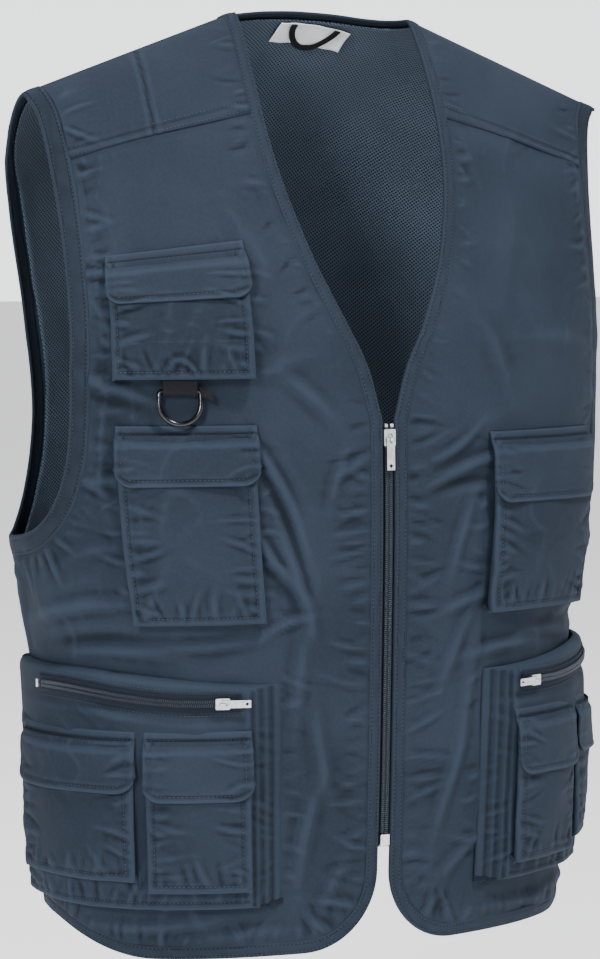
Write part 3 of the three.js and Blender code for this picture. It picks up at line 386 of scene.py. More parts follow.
@dataclass
class Relief:
    """Creases and puckers of the cloth, each a short ridge between two shallow valleys."""

    creases: list[tuple[float, ...]] = field(default_factory=list)

    def add(self, turn: float, level: float, lean: float, long: float, wide: float, rise: float,
            bow: float = 0.0) -> None:
        """Adds a crease.

        Args:
            turn: Turn of its middle.
            level: Level of its middle.
            lean: Angle to the level, in degrees.
            long: Half-length in millimetres.
            wide: Half-width in millimetres.
            rise: Height in millimetres, negative for a groove.
            bow: How far its middle is bent aside, in millimetres.
        """
        across, _ = FORM.scale(np.array([turn]), np.array([level]))
        climbed = float(FORM.climb(turn, level))
        self.creases.append((turn, climbed, math.radians(lean), long, wide, rise, bow, float(across[0])))

    def pucker(self, path: Array, side: float, seed: int, pitch: float = 9, long: float = 8,
               wide: float = 2.2, rise: float = 0.5, spread: float = 28) -> None:
        """Adds small puckers that run away from a seam.

        Args:
            path: The seam's turns and levels.
            side: 1 to run to its left, -1 to its right.
            seed: Seed of the spacing.
            pitch: Mean spacing in millimetres.
            long: Mean half-length in millimetres.
            wide: Mean half-width in millimetres.
            rise: Mean height in millimetres.
            spread: How far the directions vary, in degrees.
        """
        rng = np.random.default_rng(seed)
        length, at = FORM.run(path), 0.0
        while at < length - pitch / 2:
            at += pitch * rng.uniform(0.45, 1.55)
            half = long * rng.uniform(0.5, 1.6)
            spot = FORM.respaced(path, np.array([max(at - 2, 0), at, at + 2]) / (length + 4))
            across, up = FORM.scale(spot[1:2, 0], spot[1:2, 1])
            step = spot[2] - spot[0]
            way = math.atan2(step[1] * up[0], step[0] * across[0]) + side * math.pi / 2
            way += math.radians(rng.uniform(-spread, spread))
            turn = spot[1, 0] + math.cos(way) * half * 0.75 / across[0]
            level = spot[1, 1] + math.sin(way) * half * 0.75 / up[0]
            self.add(turn, level, math.degrees(way), half, wide * rng.uniform(0.7, 1.5),
                     rise * rng.uniform(0.4, 1.4) * rng.choice([1, 1, -0.7]), rng.uniform(-1.5, 1.5))

    def lift(self, turn: Array, level: Array) -> Array:
        """Height of all the creases at some spots, in millimetres."""
        climbed = FORM.climb(turn, level)
        total = np.zeros(climbed.shape)
        for turn0, level0, lean, long, wide, rise, bow, per_turn in self.creases:
            across = ((turn - turn0 + 540) % 360 - 180) * per_turn
            up = climbed - level0
            across, up = np.broadcast_arrays(across, up)
            near = (np.abs(across) < 2.4 * long + 4 * wide) & (np.abs(up) < 2.4 * long + 4 * wide)
            if not near.any():
                continue
            a, u = across[near], up[near]
            along = (a * math.cos(lean) + u * math.sin(lean)) / long
            aside = (u * math.cos(lean) - a * math.sin(lean) + bow * along**2) / wide
            total[near] += rise * (1 - 0.55 * aside**2) * np.exp(-aside**2) * np.exp(-along**2 * 1.2)
        return total


def waves(turn: Array, level: Array, rise: float, run: float, seed: int) -> Array:
    """Broad, uneven waves of the cloth.

    Args:
        turn: Turns in degrees.
        level: Levels.
        rise: Typical height in millimetres.
        run: Typical wave length in millimetres.
        seed: Seed of the directions.

    Returns:
        Heights in millimetres.
    """
    rng = np.random.default_rng(seed)
    x, y = np.asarray(turn) * 3.3, FORM.climb(turn, level)
    total = 0.0
    for _ in range(7):
        way, start = rng.uniform(0, math.pi), rng.uniform(0, 2 * math.pi)
        length = run * rng.uniform(0.6, 1.8)
        bend = 0.6 * np.sin((x * math.sin(way) - y * math.cos(way)) / length * 2.1 + start * 2)
        total = total + np.sin((x * math.cos(way) + y * math.sin(way)) / length * 2 * math.pi + start + bend)
    return rise * total / 2.6


def gradient_noise(x: Array, y: Array, seed: int) -> Array:
    """Smooth noise between about -1 and 1, with one hump to a unit."""
    angles = np.random.default_rng(seed).uniform(0, 2 * math.pi, (64, 64))
    i, j = np.floor(x).astype(int), np.floor(y).astype(int)
    u, v = x - i, y - j

    def corner(a: int, b: int) -> Array:
        """The part of the noise that comes from one corner of the cell."""
        angle = angles[(i + a) % 64, (j + b) % 64]
        return np.cos(angle) * (u - a) + np.sin(angle) * (v - b)

    ease_u, ease_v = u**3 * (u * (u * 6 - 15) + 10), v**3 * (v * (v * 6 - 15) + 10)
    low, high = blend(corner(0, 0), corner(1, 0), ease_u), blend(corner(0, 1), corner(1, 1), ease_u)
    return blend(low, high, ease_v) * 1.5


def rumple(turn: Array, level: Array, rise: float, run: float, seed: int, pull: float = 1.0) -> Array:
    """Irregular creases with sharp crests and broad valleys.

    Args:
        turn: Turns in degrees.
        level: Levels.
        rise: Height of the crests in millimetres.
        run: Distance between them in millimetres.
        seed: Seed of the pattern.
        pull: How much longer they are upright than across.

    Returns:
        Heights in millimetres.
    """
    x, y = np.asarray(turn) * 3.3 / run, FORM.climb(turn, level) / run / pull
    x = x + 0.5 * gradient_noise(x * 0.6, y * 0.6, seed + 1)
    y = y + 0.5 * gradient_noise(x * 0.6, y * 0.6, seed + 2)
    field = gradient_noise(x, y, seed)
    crest = (1 - np.minimum(1, np.sqrt(field**2 + 0.004) * 1.7)) ** 2
    patch = smoothstep(gradient_noise(x * 0.35, y * 0.35, seed + 3), -0.35, 0.45)
    return rise * (crest * patch * 0.8 + field * 0.5)


@dataclass(frozen=True)
class Pattern:
    """Outline of the garment: its neck, zip, hem and armhole edges."""

    zip_gap: float = 5.2
    v_depth: float = 318
    back_drop: float = 42
    armhole_depth: float = 406
    yoke_drop: float = 107
    side_seam: float = 106
    hem_corner: float = 58
    hem_rise: float = 26
    edge_band: float = 10
    arm_band: float = 16
    neck_down: tuple[float, ...] = (0, 0.14, 0.27, 0.38, 0.48, 0.6, 0.74, 0.88, 1)
    neck_out: tuple[float, ...] = (1, 1, 1.01, 0.99, 0.9, 0.69, 0.39, 0.16, 0)
    back_down: tuple[float, ...] = (0, 0.4, 0.74, 0.93, 1)
    back_out: tuple[float, ...] = (1, 0.95, 0.76, 0.42, 0)
    arm_front: tuple[tuple[float, float], ...] = (
        (1, 106), (0.999, 97), (0.99, 87.5), (0.965, 78), (0.915, 70.5), (0.84, 66),
        (0.7, 63.8), (0.5, 63.4), (0.32, 65.3), (0.17, 70), (0.07, 77), (0, 81),
    )
    arm_back: tuple[tuple[float, float], ...] = (
        (0, 103), (0.1, 101), (0.2, 101.5), (0.3, 106), (0.42, 116.5), (0.58, 127),
        (0.74, 131), (0.86, 129), (0.945, 123), (0.99, 114.5), (1, 106),
    )

    @property
    def yoke(self) -> float:
        """Level of the yoke seam."""
        return FORM.ridge - self.yoke_drop

    def hem(self, turn: Array) -> Array:
        """Level of the hem, which rises towards the side seam."""
        turned = np.abs(turn) % 360
        turned = np.where(turned > 180, 360 - turned, turned)
        return FORM.hem + self.hem_rise * smoothstep(turned, 50, 100)

    def front_line(self) -> Array:
        """Neck edge, zip edge and hem corner of the wearer's left, from the ridge down."""
        level = FORM.ridge - np.array(self.neck_down) * self.v_depth
        x = blend(self.zip_gap, FORM.neck_half, np.array(self.neck_out))
        neck = smooth_path(np.stack([FORM.turn_at(x, level), level], 1), 120)
        top = FORM.hem + self.hem_corner
        level = np.linspace(FORM.ridge - self.v_depth, top, 90)[1:-1]
        zip_edge = np.stack([FORM.turn_at(self.zip_gap, level), level], 1)
        angle = np.linspace(0, math.pi / 2, 40)
        level = top - self.hem_corner * np.sin(angle)
        out = self.zip_gap + self.hem_corner * (1 - np.cos(angle))
        corner = np.stack([FORM.turn_at(out, level), level], 1)
        return np.vstack([neck, zip_edge, corner])

    def hem_edge(self, start: float, end: float, count: int = 90) -> Array:
        """Hem edge from one turn to another."""
        turn = np.linspace(start, end, count)
        return np.stack([turn, self.hem(turn)], 1)

    def armhole(self, back: bool) -> Array:
        """Armhole edge: up the front, or down the back."""
        rows = self.arm_back if back else self.arm_front
        spots = [(turn, FORM.ridge - down * self.armhole_depth) for down, turn in rows]
        return smooth_path(np.array(spots), 130)

    def back_neck(self) -> Array:
        """Back neck edge from the wearer's right neck point round to the left one."""
        x = np.maximum(np.array(self.back_out) * FORM.neck_half, 0.001)
        level = FORM.ridge - np.array(self.back_down) * self.back_drop
        left = np.stack([FORM.turn_at(x, FORM.ridge, True), level], 1)
        right = left * [-1, 1] + [360, 0]
        return spline(np.vstack([right, left[::-1][1:]]), 72)


PATTERN = Pattern()


def between(path: Array, low: float, high: float) -> Array:
    """The part of a rising path between two levels, cut off square at both."""
    inside = path[(path[:, 1] >= low) & (path[:, 1] <= high)]
    cuts = []
    for level in (low, high):
        crossed = path[0, 1] < level < path[-1, 1]
        cuts.append([[np.interp(level, path[:, 1], path[:, 0]), level]] if crossed else np.empty((0, 2)))
    return np.vstack([cuts[0], inside, cuts[1]])


def mirrored(path: Array, side: Side) -> Array:
    """A path of the wearer's left, on one side or the other."""
    return path * [side.value, 1]


class Signal:
    """A shader value that Python operators join with Math nodes."""

    def __init__(self, graph: "Graph", socket: Any) -> None:
        """Wraps a socket of a graph."""
        self.graph, self.socket = graph, socket

    def _join(self, operation: str, *values: Any) -> "Signal":
        """Adds a Math node over the values."""
        inputs = dict(enumerate(values))
        return self.graph.add("ShaderNodeMath", {"operation": operation}, inputs)

    def __add__(self, other: Any) -> "Signal":
        """self + other."""
        return self._join("ADD", self, other)

    def __radd__(self, other: Any) -> "Signal":
        """other + self."""
        return self._join("ADD", other, self)

    def __sub__(self, other: Any) -> "Signal":
        """self - other."""
        return self._join("SUBTRACT", self, other)

    def __rsub__(self, other: Any) -> "Signal":
        """other - self."""
        return self._join("SUBTRACT", other, self)

    def __mul__(self, other: Any) -> "Signal":
        """self * other."""
        return self._join("MULTIPLY", self, other)

    def __rmul__(self, other: Any) -> "Signal":
        """other * self."""
        return self._join("MULTIPLY", other, self)

    def __truediv__(self, other: Any) -> "Signal":
        """self / other."""
        return self._join("DIVIDE", self, other)

    def power(self, other: Any) -> "Signal":
        """self to a power."""
        return self._join("POWER", self, other)

    def fraction(self) -> "Signal":
        """The part after the point."""
        return self._join("FRACT", self)

    def sine(self) -> "Signal":
        """The sine."""
        return self._join("SINE", self)

    def size(self) -> "Signal":
        """The value without its sign."""
        return self._join("ABSOLUTE", self)

    def larger(self, other: Any) -> "Signal":
        """The larger of two values."""
        return self._join("MAXIMUM", self, other)

    def ramp(self, low: float, high: float) -> "Signal":
        """Rises smoothly from 0 at low to 1 at high."""
        settings = {"interpolation_type": "SMOOTHSTEP"}
        inputs = {"Value": self, "From Min": low, "From Max": high}
        return self.graph.add("ShaderNodeMapRange", settings, inputs)


class Graph:
    """The node tree of one material."""

    def __init__(self, name: str) -> None:
        """Starts a material with an empty tree."""
        self.material = bpy.data.materials.new(name)
        self.material.use_nodes = True
        self.tree = self.material.node_tree
        self.tree.nodes.clear()

    @classmethod
    def of(cls, tree: Any) -> "Graph":
        """Wraps a node tree that is there already."""
        graph = cls.__new__(cls)
        graph.material, graph.tree = None, tree
        return graph

    def add(self, kind: str, settings: dict[str, Any], inputs: dict[Any, Any], output: Any = 0) -> Signal:
        """Adds a node.

        Args:
            kind: Node type.
            settings: Attributes to set first.
            inputs: Values or links by socket name or number.
            output: Name or number of the output to return.

        Returns:
            The output as a signal.
        """
        node = self.tree.nodes.new(kind)
        for key, value in settings.items():
            setattr(node, key, value)
        for key, value in inputs.items():
            socket = node.inputs[key]
            if isinstance(value, Signal):
                self.tree.links.new(value.socket, socket)
            else:
                socket.default_value = value
        return Signal(self, node.outputs[output])

    def spot(self) -> Signal:
        """Place on the object, in metres."""
        return self.add("ShaderNodeTexCoord", {}, {}, "Object")

    def cloth_axes(self) -> tuple[Signal, Signal]:
        """Place along the cloth from its UV map: across and up, in metres."""
        uv = self.add("ShaderNodeUVMap", {"uv_map": "cloth"}, {})
        parts = self.add("ShaderNodeSeparateXYZ", {}, {0: uv})
        up = Signal(self, parts.socket.node.outputs[1])
        return parts, up

    def crest(self) -> Signal:
        """How sharply the cloth stands out, from -1 in a groove to 1 on a ridge; it sets where shade and
        highlight are painted.
        """
        return self.add("ShaderNodeAttribute", {"attribute_name": "crest"}, {}, "Fac")

    def noise(self, scale: float, detail: float = 2, rough: float = 0.5) -> Signal:
        """Soft noise over the object, with a scale per metre."""
        inputs = {"Vector": self.spot(), "Scale": scale, "Detail": detail, "Roughness": rough}
        return self.add("ShaderNodeTexNoise", {}, inputs)

    def mix(self, share: Any, a: Any, b: Any) -> Signal:
        """Mixes two colours."""
        tree_node = self.tree.nodes.new("ShaderNodeMix")
        tree_node.data_type = "RGBA"
        for index, value in ((0, share), (6, a), (7, b)):
            socket = tree_node.inputs[index]
            if isinstance(value, Signal):
                self.tree.links.new(value.socket, socket)
            else:
                socket.default_value = (*value, 1) if isinstance(value, tuple) else value
        return Signal(self, tree_node.outputs[2])

    def bump(self, height: Signal, depth: float, strength: float = 1.0) -> Signal:
        """Turns a height into a normal."""
        inputs = {"Height": height, "Distance": depth, "Strength": strength}
        return self.add("ShaderNodeBump", {}, inputs)

    def finish(self, **values: Any) -> bpy.types.Material:
        """Adds the surface shader.

        Args:
            **values: Its sockets by name, with an underscore for a space.

        Returns:
            The material.
        """
        node = self.tree.nodes.new("ShaderNodeBsdfPrincipled")
        for key, value in values.items():
            socket = node.inputs[key.replace("_", " ")]
            if isinstance(value, Signal):
                self.tree.links.new(value.socket, socket)
            else:
                socket.default_value = (*value, 1) if isinstance(value, tuple) else value
        end = self.tree.nodes.new("ShaderNodeOutputMaterial")
        self.tree.links.new(node.outputs[0], end.inputs[0])
        return self.material


def shaded(colour: Colour, factor: float, lift: float = 0.0) -> Colour:
    """A darker or a paler shade of a colour."""
    return tuple(min(1, part * factor + lift) for part in colour)


@dataclass(frozen=True)
class Twill:
    """Firm cotton-blend twill with a faint satin sheen, with painted shade in its grooves and painted
    highlight on its ridges.
    """

    name: str
    colour: Colour
    pitch: float = 0.00062
    sheen: float = 0.03
    rough: float = 0.66
    wear: float = 0.35

    def build(self) -> bpy.types.Material:
        """Makes the material."""
        graph = Graph(self.name)
        across, up = graph.cloth_axes()
        diagonal = ((across + up) / self.pitch).fraction()
        rib = 1 - (diagonal * 2 - 1).size()
        yarn = ((across - up) * (math.pi / self.pitch / 1.6)).sine().size()
        weave = rib * 0.75 + yarn * 0.25
        broad = graph.noise(9, 3, 0.55)
        fine = graph.noise(420, 2, 0.6)
        slub = graph.noise(1600, 1, 0.5)
        dark = shaded(self.colour, 0.74)
        pale = shaded(self.colour, 1.3, 0.004)
        shade = broad.ramp(0.3, 0.7) * 0.45 + fine.ramp(0.25, 0.75) * 0.2 + weave * 0.35
        colour = graph.mix(shade, dark, pale)
        worn = (fine.ramp(0.55, 0.8) * slub.ramp(0.5, 0.75)) * self.wear
        colour = graph.mix(worn, colour, shaded(self.colour, 1.7, 0.01))
        crest = graph.crest()
        # Painted shade: grooves of the cloth are darkened towards a deep shade of the navy.
        colour = graph.mix((0 - crest).ramp(0.03, 1) * 0.68, colour, shaded(self.colour, 0.22))
        # Painted highlight: ridges of the cloth are lightened towards a pale shade of the navy.
        colour = graph.mix(crest.ramp(0.05, 1) * 0.4, colour, shaded(self.colour, 2.2, 0.004))
        rough = self.rough + broad * 0.12 + (1 - weave) * 0.1
        height = weave * 0.6 + fine * 0.5 + slub * 0.25
        return graph.finish(
            Base_Color=colour, Roughness=rough, Normal=graph.bump(height, 0.00028, 0.55),
            Specular_IOR_Level=0.1, Sheen_Weight=self.sheen, Sheen_Roughness=0.35,
            Sheen_Tint=(0.62, 0.74, 0.95),
        )


@dataclass(frozen=True)
class MeshNet:
    """Knitted mesh with diamond holes that are not cut out but painted dark, as painted shade of the space
    behind.
    """

    name: str
    colour: Colour
    wide: float = 0.0034
    tall: float = 0.0031

    def build(self) -> bpy.types.Material:
        """Makes the material."""
        graph = Graph(self.name)
        across, up = graph.cloth_axes()
        a = (across / self.wide + up / self.tall).fraction() - 0.5
        b = (across / self.wide - up / self.tall).fraction() - 0.5
        thread = a.size().larger(b.size()).ramp(0.27, 0.36)
        knit = graph.noise(2400, 1, 0.6)
        broad = graph.noise(16, 2, 0.5)
        pale = shaded(self.colour, 1.45)
        yarn = graph.mix(broad.ramp(0.3, 0.7) * 0.5 + knit * 0.5, self.colour, pale)
        # Painted shade: the holes between the threads take a near-black shade of the mesh colour in place of
        # what lies behind them.
        colour = graph.mix(thread, shaded(self.colour, 0.16), yarn)
        height = thread * 0.8 + knit * 0.2
        return graph.finish(
            Base_Color=colour, Roughness=0.62 + knit * 0.2, Normal=graph.bump(height, 0.0006, 0.9),
            Specular_IOR_Level=0.15, Sheen_Weight=0.05, Sheen_Roughness=0.4,
        )


@dataclass(frozen=True)
class Webbing:
    """Woven tape or webbing with ribs across it."""

    name: str
    colour: Colour
    rib: float = 0.0011

    def build(self) -> bpy.types.Material:
        """Makes the material."""
        graph = Graph(self.name)
        across, up = graph.cloth_axes()
        ribs = (up * (math.pi / self.rib)).sine().size()
        cords = (across * (math.pi / self.rib / 0.8)).sine().size()
        fuzz = graph.noise(900, 2, 0.6)
        shade = ribs * 0.45 + cords * 0.25 + fuzz * 0.3
        colour = graph.mix(shade, shaded(self.colour, 0.55), shaded(self.colour, 1.6))
        return graph.finish(
            Base_Color=colour, Roughness=0.6 + fuzz * 0.25,
            Normal=graph.bump(ribs * 0.7 + cords * 0.5, 0.0002),
            Specular_IOR_Level=0.12, Sheen_Weight=0.02, Sheen_Roughness=0.4,
        )


@dataclass(frozen=True)
class Metal:
    """Plated metal with fine scratches."""

    name: str
    colour: Colour
    rough: float

    def build(self) -> bpy.types.Material:
        """Makes the material."""
        graph = Graph(self.name)
        cloud = graph.noise(260, 3, 0.6)
        scratch = graph.noise(2600, 2, 0.7)
        colour = graph.mix(cloud.ramp(0.35, 0.7), shaded(self.colour, 0.78), self.colour)
        rough = self.rough + cloud * 0.1 + scratch.ramp(0.5, 0.75) * 0.16
        return graph.finish(
            Base_Color=colour, Metallic=1.0, Roughness=rough, Normal=graph.bump(scratch, 0.00004, 0.5),
        )


@dataclass(frozen=True)
class Nylon:
    """Dark moulded nylon of the zip coils and the sewing thread."""

    name: str
    colour: Colour
    rough: float = 0.36

    def build(self) -> bpy.types.Material:
        """Makes the material."""
        graph = Graph(self.name)
        tone = graph.noise(700, 2, 0.5)
        colour = graph.mix(tone, shaded(self.colour, 0.7), shaded(self.colour, 1.35))
        return graph.finish(
            Base_Color=colour, Roughness=self.rough + tone * 0.15, Normal=graph.bump(tone, 0.00003),
        )


@dataclass(frozen=True)
class LabelCloth:
    """Bare white woven label."""

    name: str
    colour: Colour

    def build(self) -> bpy.types.Material:
        """Makes the material."""
        graph = Graph(self.name)
        across, up = graph.cloth_axes()
        satin = ((across * (math.pi / 0.0005)).sine().size() + (up * (math.pi / 0.0004)).sine().size()) / 2
        cloud = graph.noise(60, 2, 0.5)
        share = cloud.ramp(0.3, 0.7) * 0.6 + satin * 0.3
        colour = graph.mix(share, shaded(self.colour, 0.82), self.colour)
        return graph.finish(
            Base_Color=colour, Roughness=0.5 + cloud * 0.15, Normal=graph.bump(satin, 0.0001, 0.6),
            Sheen_Weight=0.2, Sheen_Roughness=0.3,
        )


class Finish(Enum):
    """The vest's finishes."""

    TWILL = Twill("navy_twill", (0.0135, 0.0205, 0.033))
    BINDING = Twill("binding_twill", (0.0095, 0.0145, 0.0235), sheen=0.03)
    POCKET = Twill("pocket_twill", (0.0118, 0.0182, 0.0295))
    INSIDE = Twill("inner_twill", (0.008, 0.012, 0.019), sheen=0.03, rough=0.7)
    MESH = MeshNet("lining_mesh", (0.06, 0.085, 0.12))
    TAPE = Webbing("zip_tape", (0.007, 0.01, 0.017), rib=0.0007)
    COIL = Nylon("zip_nylon", (0.014, 0.021, 0.034))
    THREAD = Nylon("sewing_thread", (0.019, 0.028, 0.045), rough=0.5)
    SILVER = Metal("plated_silver", (0.72, 0.73, 0.75), 0.2)
    DARK_METAL = Metal("dark_plated_metal", (0.055, 0.054, 0.062), 0.14)
    WEBBING = Webbing("black_webbing", (0.006, 0.0065, 0.009), rib=0.0012)
    LABEL = LabelCloth("white_label", (0.86, 0.88, 0.9))


_MATERIALS: dict[Finish, bpy.types.Material] = {}


def material_of(finish: Finish) -> bpy.types.Material:
    """The one material of a finish."""
    if finish not in _MATERIALS:
        _MATERIALS[finish] = finish.value.build()
    return _MATERIALS[finish]


def finished(name: str, work: bmesh.types.BMesh, finish: Finish, replaces: Sequence[str] = (),
             body: str = "vest") -> bpy.types.Object:
    """Turns a bmesh into a piece of the vest.

    Args:
        name: Piece name.
        work: The bmesh, which is freed.
        finish: Its finish.
        replaces: CAD nodes that the piece stands for.
        body: Body that it rides on.

    Returns:
        The new object.
    """
    mesh = bpy.data.meshes.new(name)
    work.to_mesh(mesh)
    work.free()
    mesh.shade_smooth()
    piece = bpy.data.objects.new(name, mesh)
    bpy.context.scene.collection.objects.link(piece)
    piece.data.materials.append(material_of(finish))
    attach(piece, body)
    if replaces:
        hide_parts(*replaces)
    LOG.info("%s: %d faces", name, len(mesh.polygons))
    return piece


def crests(points: Array) -> Array:
    """How sharply each spot of a sheet stands out, from -1 in a groove to 1 on a ridge.

    Args:
        points: Rows and columns of points in metres.

    Returns:
        A value for each point, for the side that the rows and columns turn round.
    """
    normal = np.cross(np.gradient(points, axis=1), np.gradient(points, axis=0))
    normal /= np.maximum(np.linalg.norm(normal, axis=-1, keepdims=True), 1e-12)
    bend = np.zeros(points.shape[:2])
    for axis in (0, 1):
        step = np.diff(points, axis=axis)
        long = np.maximum(np.linalg.norm(step, axis=-1, keepdims=True), 2e-4)
        turned = 2 * np.diff(step / long, axis=axis)
        if axis == 0:
            bend[1:-1] -= (turned / (long[1:] + long[:-1]) * normal[1:-1]).sum(axis=-1)
        else:
            bend[:, 1:-1] -= (turned / (long[:, 1:] + long[:, :-1]) * normal[:, 1:-1]).sum(axis=-1)
    near = np.pad(bend, 1, mode="edge")
    soft = (near[1:-1, 1:-1] * 2 + near[:-2, 1:-1] + near[2:, 1:-1] + near[1:-1, :-2] + near[1:-1, 2:]) / 6
    return np.tanh(soft * MM / CREST_BEND)


def cloth(name: str, points: Array, finish: Finish, thick: float, out: Array | None = None,
          replaces: Sequence[str] = (), body: str = "vest") -> bpy.types.Object:
    """Makes a sheet of cloth from rows of points on its outer face.

    Args:
        name: Piece name.
        points: Rows and columns of points in metres.
        finish: Its finish.
        thick: Thickness in millimetres, added inwards.
        out: Direction out of the cloth at the middle point.
        replaces: CAD nodes that the sheet stands for.
        body: Body that it rides on.

    Returns:
        The new object.
    """
    rows, columns = points.shape[:2]
    work = bmesh.new()
    bmesh.ops.create_grid(work, x_segments=columns - 1, y_segments=rows - 1, size=1)
    flat = points.reshape(-1, 3)
    for vertex, point in zip(work.verts, flat):
        vertex.co = point
    work.verts.index_update()
    layer = work.loops.layers.uv.new("cloth")
    across = np.zeros((rows, columns))
    up = np.zeros((rows, columns))
    across[:, 1:] = np.cumsum(np.linalg.norm(np.diff(points, axis=1), axis=2), axis=1)
    up[1:] = np.cumsum(np.linalg.norm(np.diff(points, axis=0), axis=2), axis=0)
    across -= across[:, columns // 2:columns // 2 + 1]
    across, up = across.ravel(), up.ravel()
    for face in work.faces:
        for loop in face.loops:
            loop[layer].uv = (across[loop.vert.index], up[loop.vert.index])
    crest = crests(points)
    if out is not None:
        i, j = rows // 2, columns // 2
        a = points[i, min(j + 1, columns - 1)] - points[i, j - 1]
        b = points[min(i + 1, rows - 1), j] - points[i - 1, j]
        if np.dot(np.cross(a, b), out) < 0:
            bmesh.ops.reverse_faces(work, faces=work.faces[:])
            crest = -crest
    # The crest values set where the twill finishes paint shade into grooves and highlight onto ridges.
    tone = work.verts.layers.float.new("crest")
    for vertex, value in zip(work.verts, crest.ravel()):
        vertex[tone] = float(value)
    piece = finished(name, work, finish, replaces, body)
    wall = piece.modifiers.new("wall", "SOLIDIFY")
    wall.thickness = thick * MM
    wall.offset = -1
    wall.use_quality_normals = True
    return piece


def laid(name: str, turn: Array, level: Array, lift: Array, finish: Finish, thick: float = 1.1,
         replaces: Sequence[str] = ()) -> bpy.types.Object:
    """Makes a sheet of cloth laid on the body form.

    Args:
        name: Piece name.
        turn: Turns of its rows and columns of spots.
        level: Their levels.
        lift: Their lifts.
        finish: Its finish.
        thick: Thickness in millimetres.
        replaces: CAD nodes that the sheet stands for.

    Returns:
        The new object.
    """
    i, j = turn.shape[0] // 2, turn.shape[1] // 2
    out = FORM.outward(turn[i:i + 1, j], level[i:i + 1, j])[0]
    return cloth(name, FORM.place(turn, level, lift), finish, thick, out, replaces)


def read_rows(at: Any, keys: Array, rows: Array) -> Array:
    """Reads a table of rows at a key, or at several, on straight lines between them."""
    return np.stack([np.interp(at, keys, column) for column in rows.T], axis=-1)


class Stitching:
    """Collects the stitches of one area and makes them one piece."""

    def __init__(self, name: str, pitch: float = 3.1, length: float = 2.3, thick: float = 0.42) -> None:
        """Starts an empty set of stitches."""
        self.name, self.pitch, self.length, self.thick = name, pitch, length, thick
        self.work = bmesh.new()
        self.count = 0

    def along(self, points: Array, outs: Array) -> None:
        """Sews along a line.

        Args:
            points: Points on the cloth, in metres.
            outs: Directions out of it.
        """
        steps = np.linalg.norm(np.diff(points, axis=0), axis=1)
        run = np.concatenate([[0], np.cumsum(steps)])
        count = int(run[-1] / (self.pitch * MM))
        for k in range(count):
            middle = (k + 0.5) / count * run[-1]
            half = self.length * MM / 2
            ends = [read_rows(middle + shift, run, points) for shift in (-half, half)]
            out = read_rows(middle, run, outs)
            way = ends[1] - ends[0]
            long = np.linalg.norm(way)
            if long < 1e-6:
                continue
            way /= long
            out = out - way * out.dot(way)
            out /= np.linalg.norm(out)
            side = np.cross(out, way)
            thick = self.thick * MM / 2
            basis = Matrix((way * half, side * thick, out * thick)).transposed().to_4x4()
            centre = (ends[0] + ends[1]) / 2 + out * thick * 0.15
            bmesh.ops.create_icosphere(
                self.work, subdivisions=1, radius=1, matrix=Matrix.Translation(centre) @ basis)
            self.count += 1

    def on_form(self, path: Array, lift: Callable[[Array, Array], Array] | float) -> None:
        """Sews along a path of turns and levels.

        Args:
            path: Rows of turn and level.
            lift: Lift of the cloth there, or a function of turn and level.
        """
        count = max(8, int(FORM.run(path) / 4))
        spots = FORM.respaced(path, np.linspace(0, 1, count))
        turn, level = spots[:, 0], spots[:, 1]
        high = lift(turn, level) if callable(lift) else np.full(count, float(lift))
        self.along(FORM.place(turn, level, high), FORM.outward(turn, level))

    def finish(self, body: str = "vest") -> bpy.types.Object:
        """Makes the piece."""
        LOG.info("%s: %d stitches", self.name, self.count)
        return finished(self.name, self.work, Finish.THREAD, (), body)


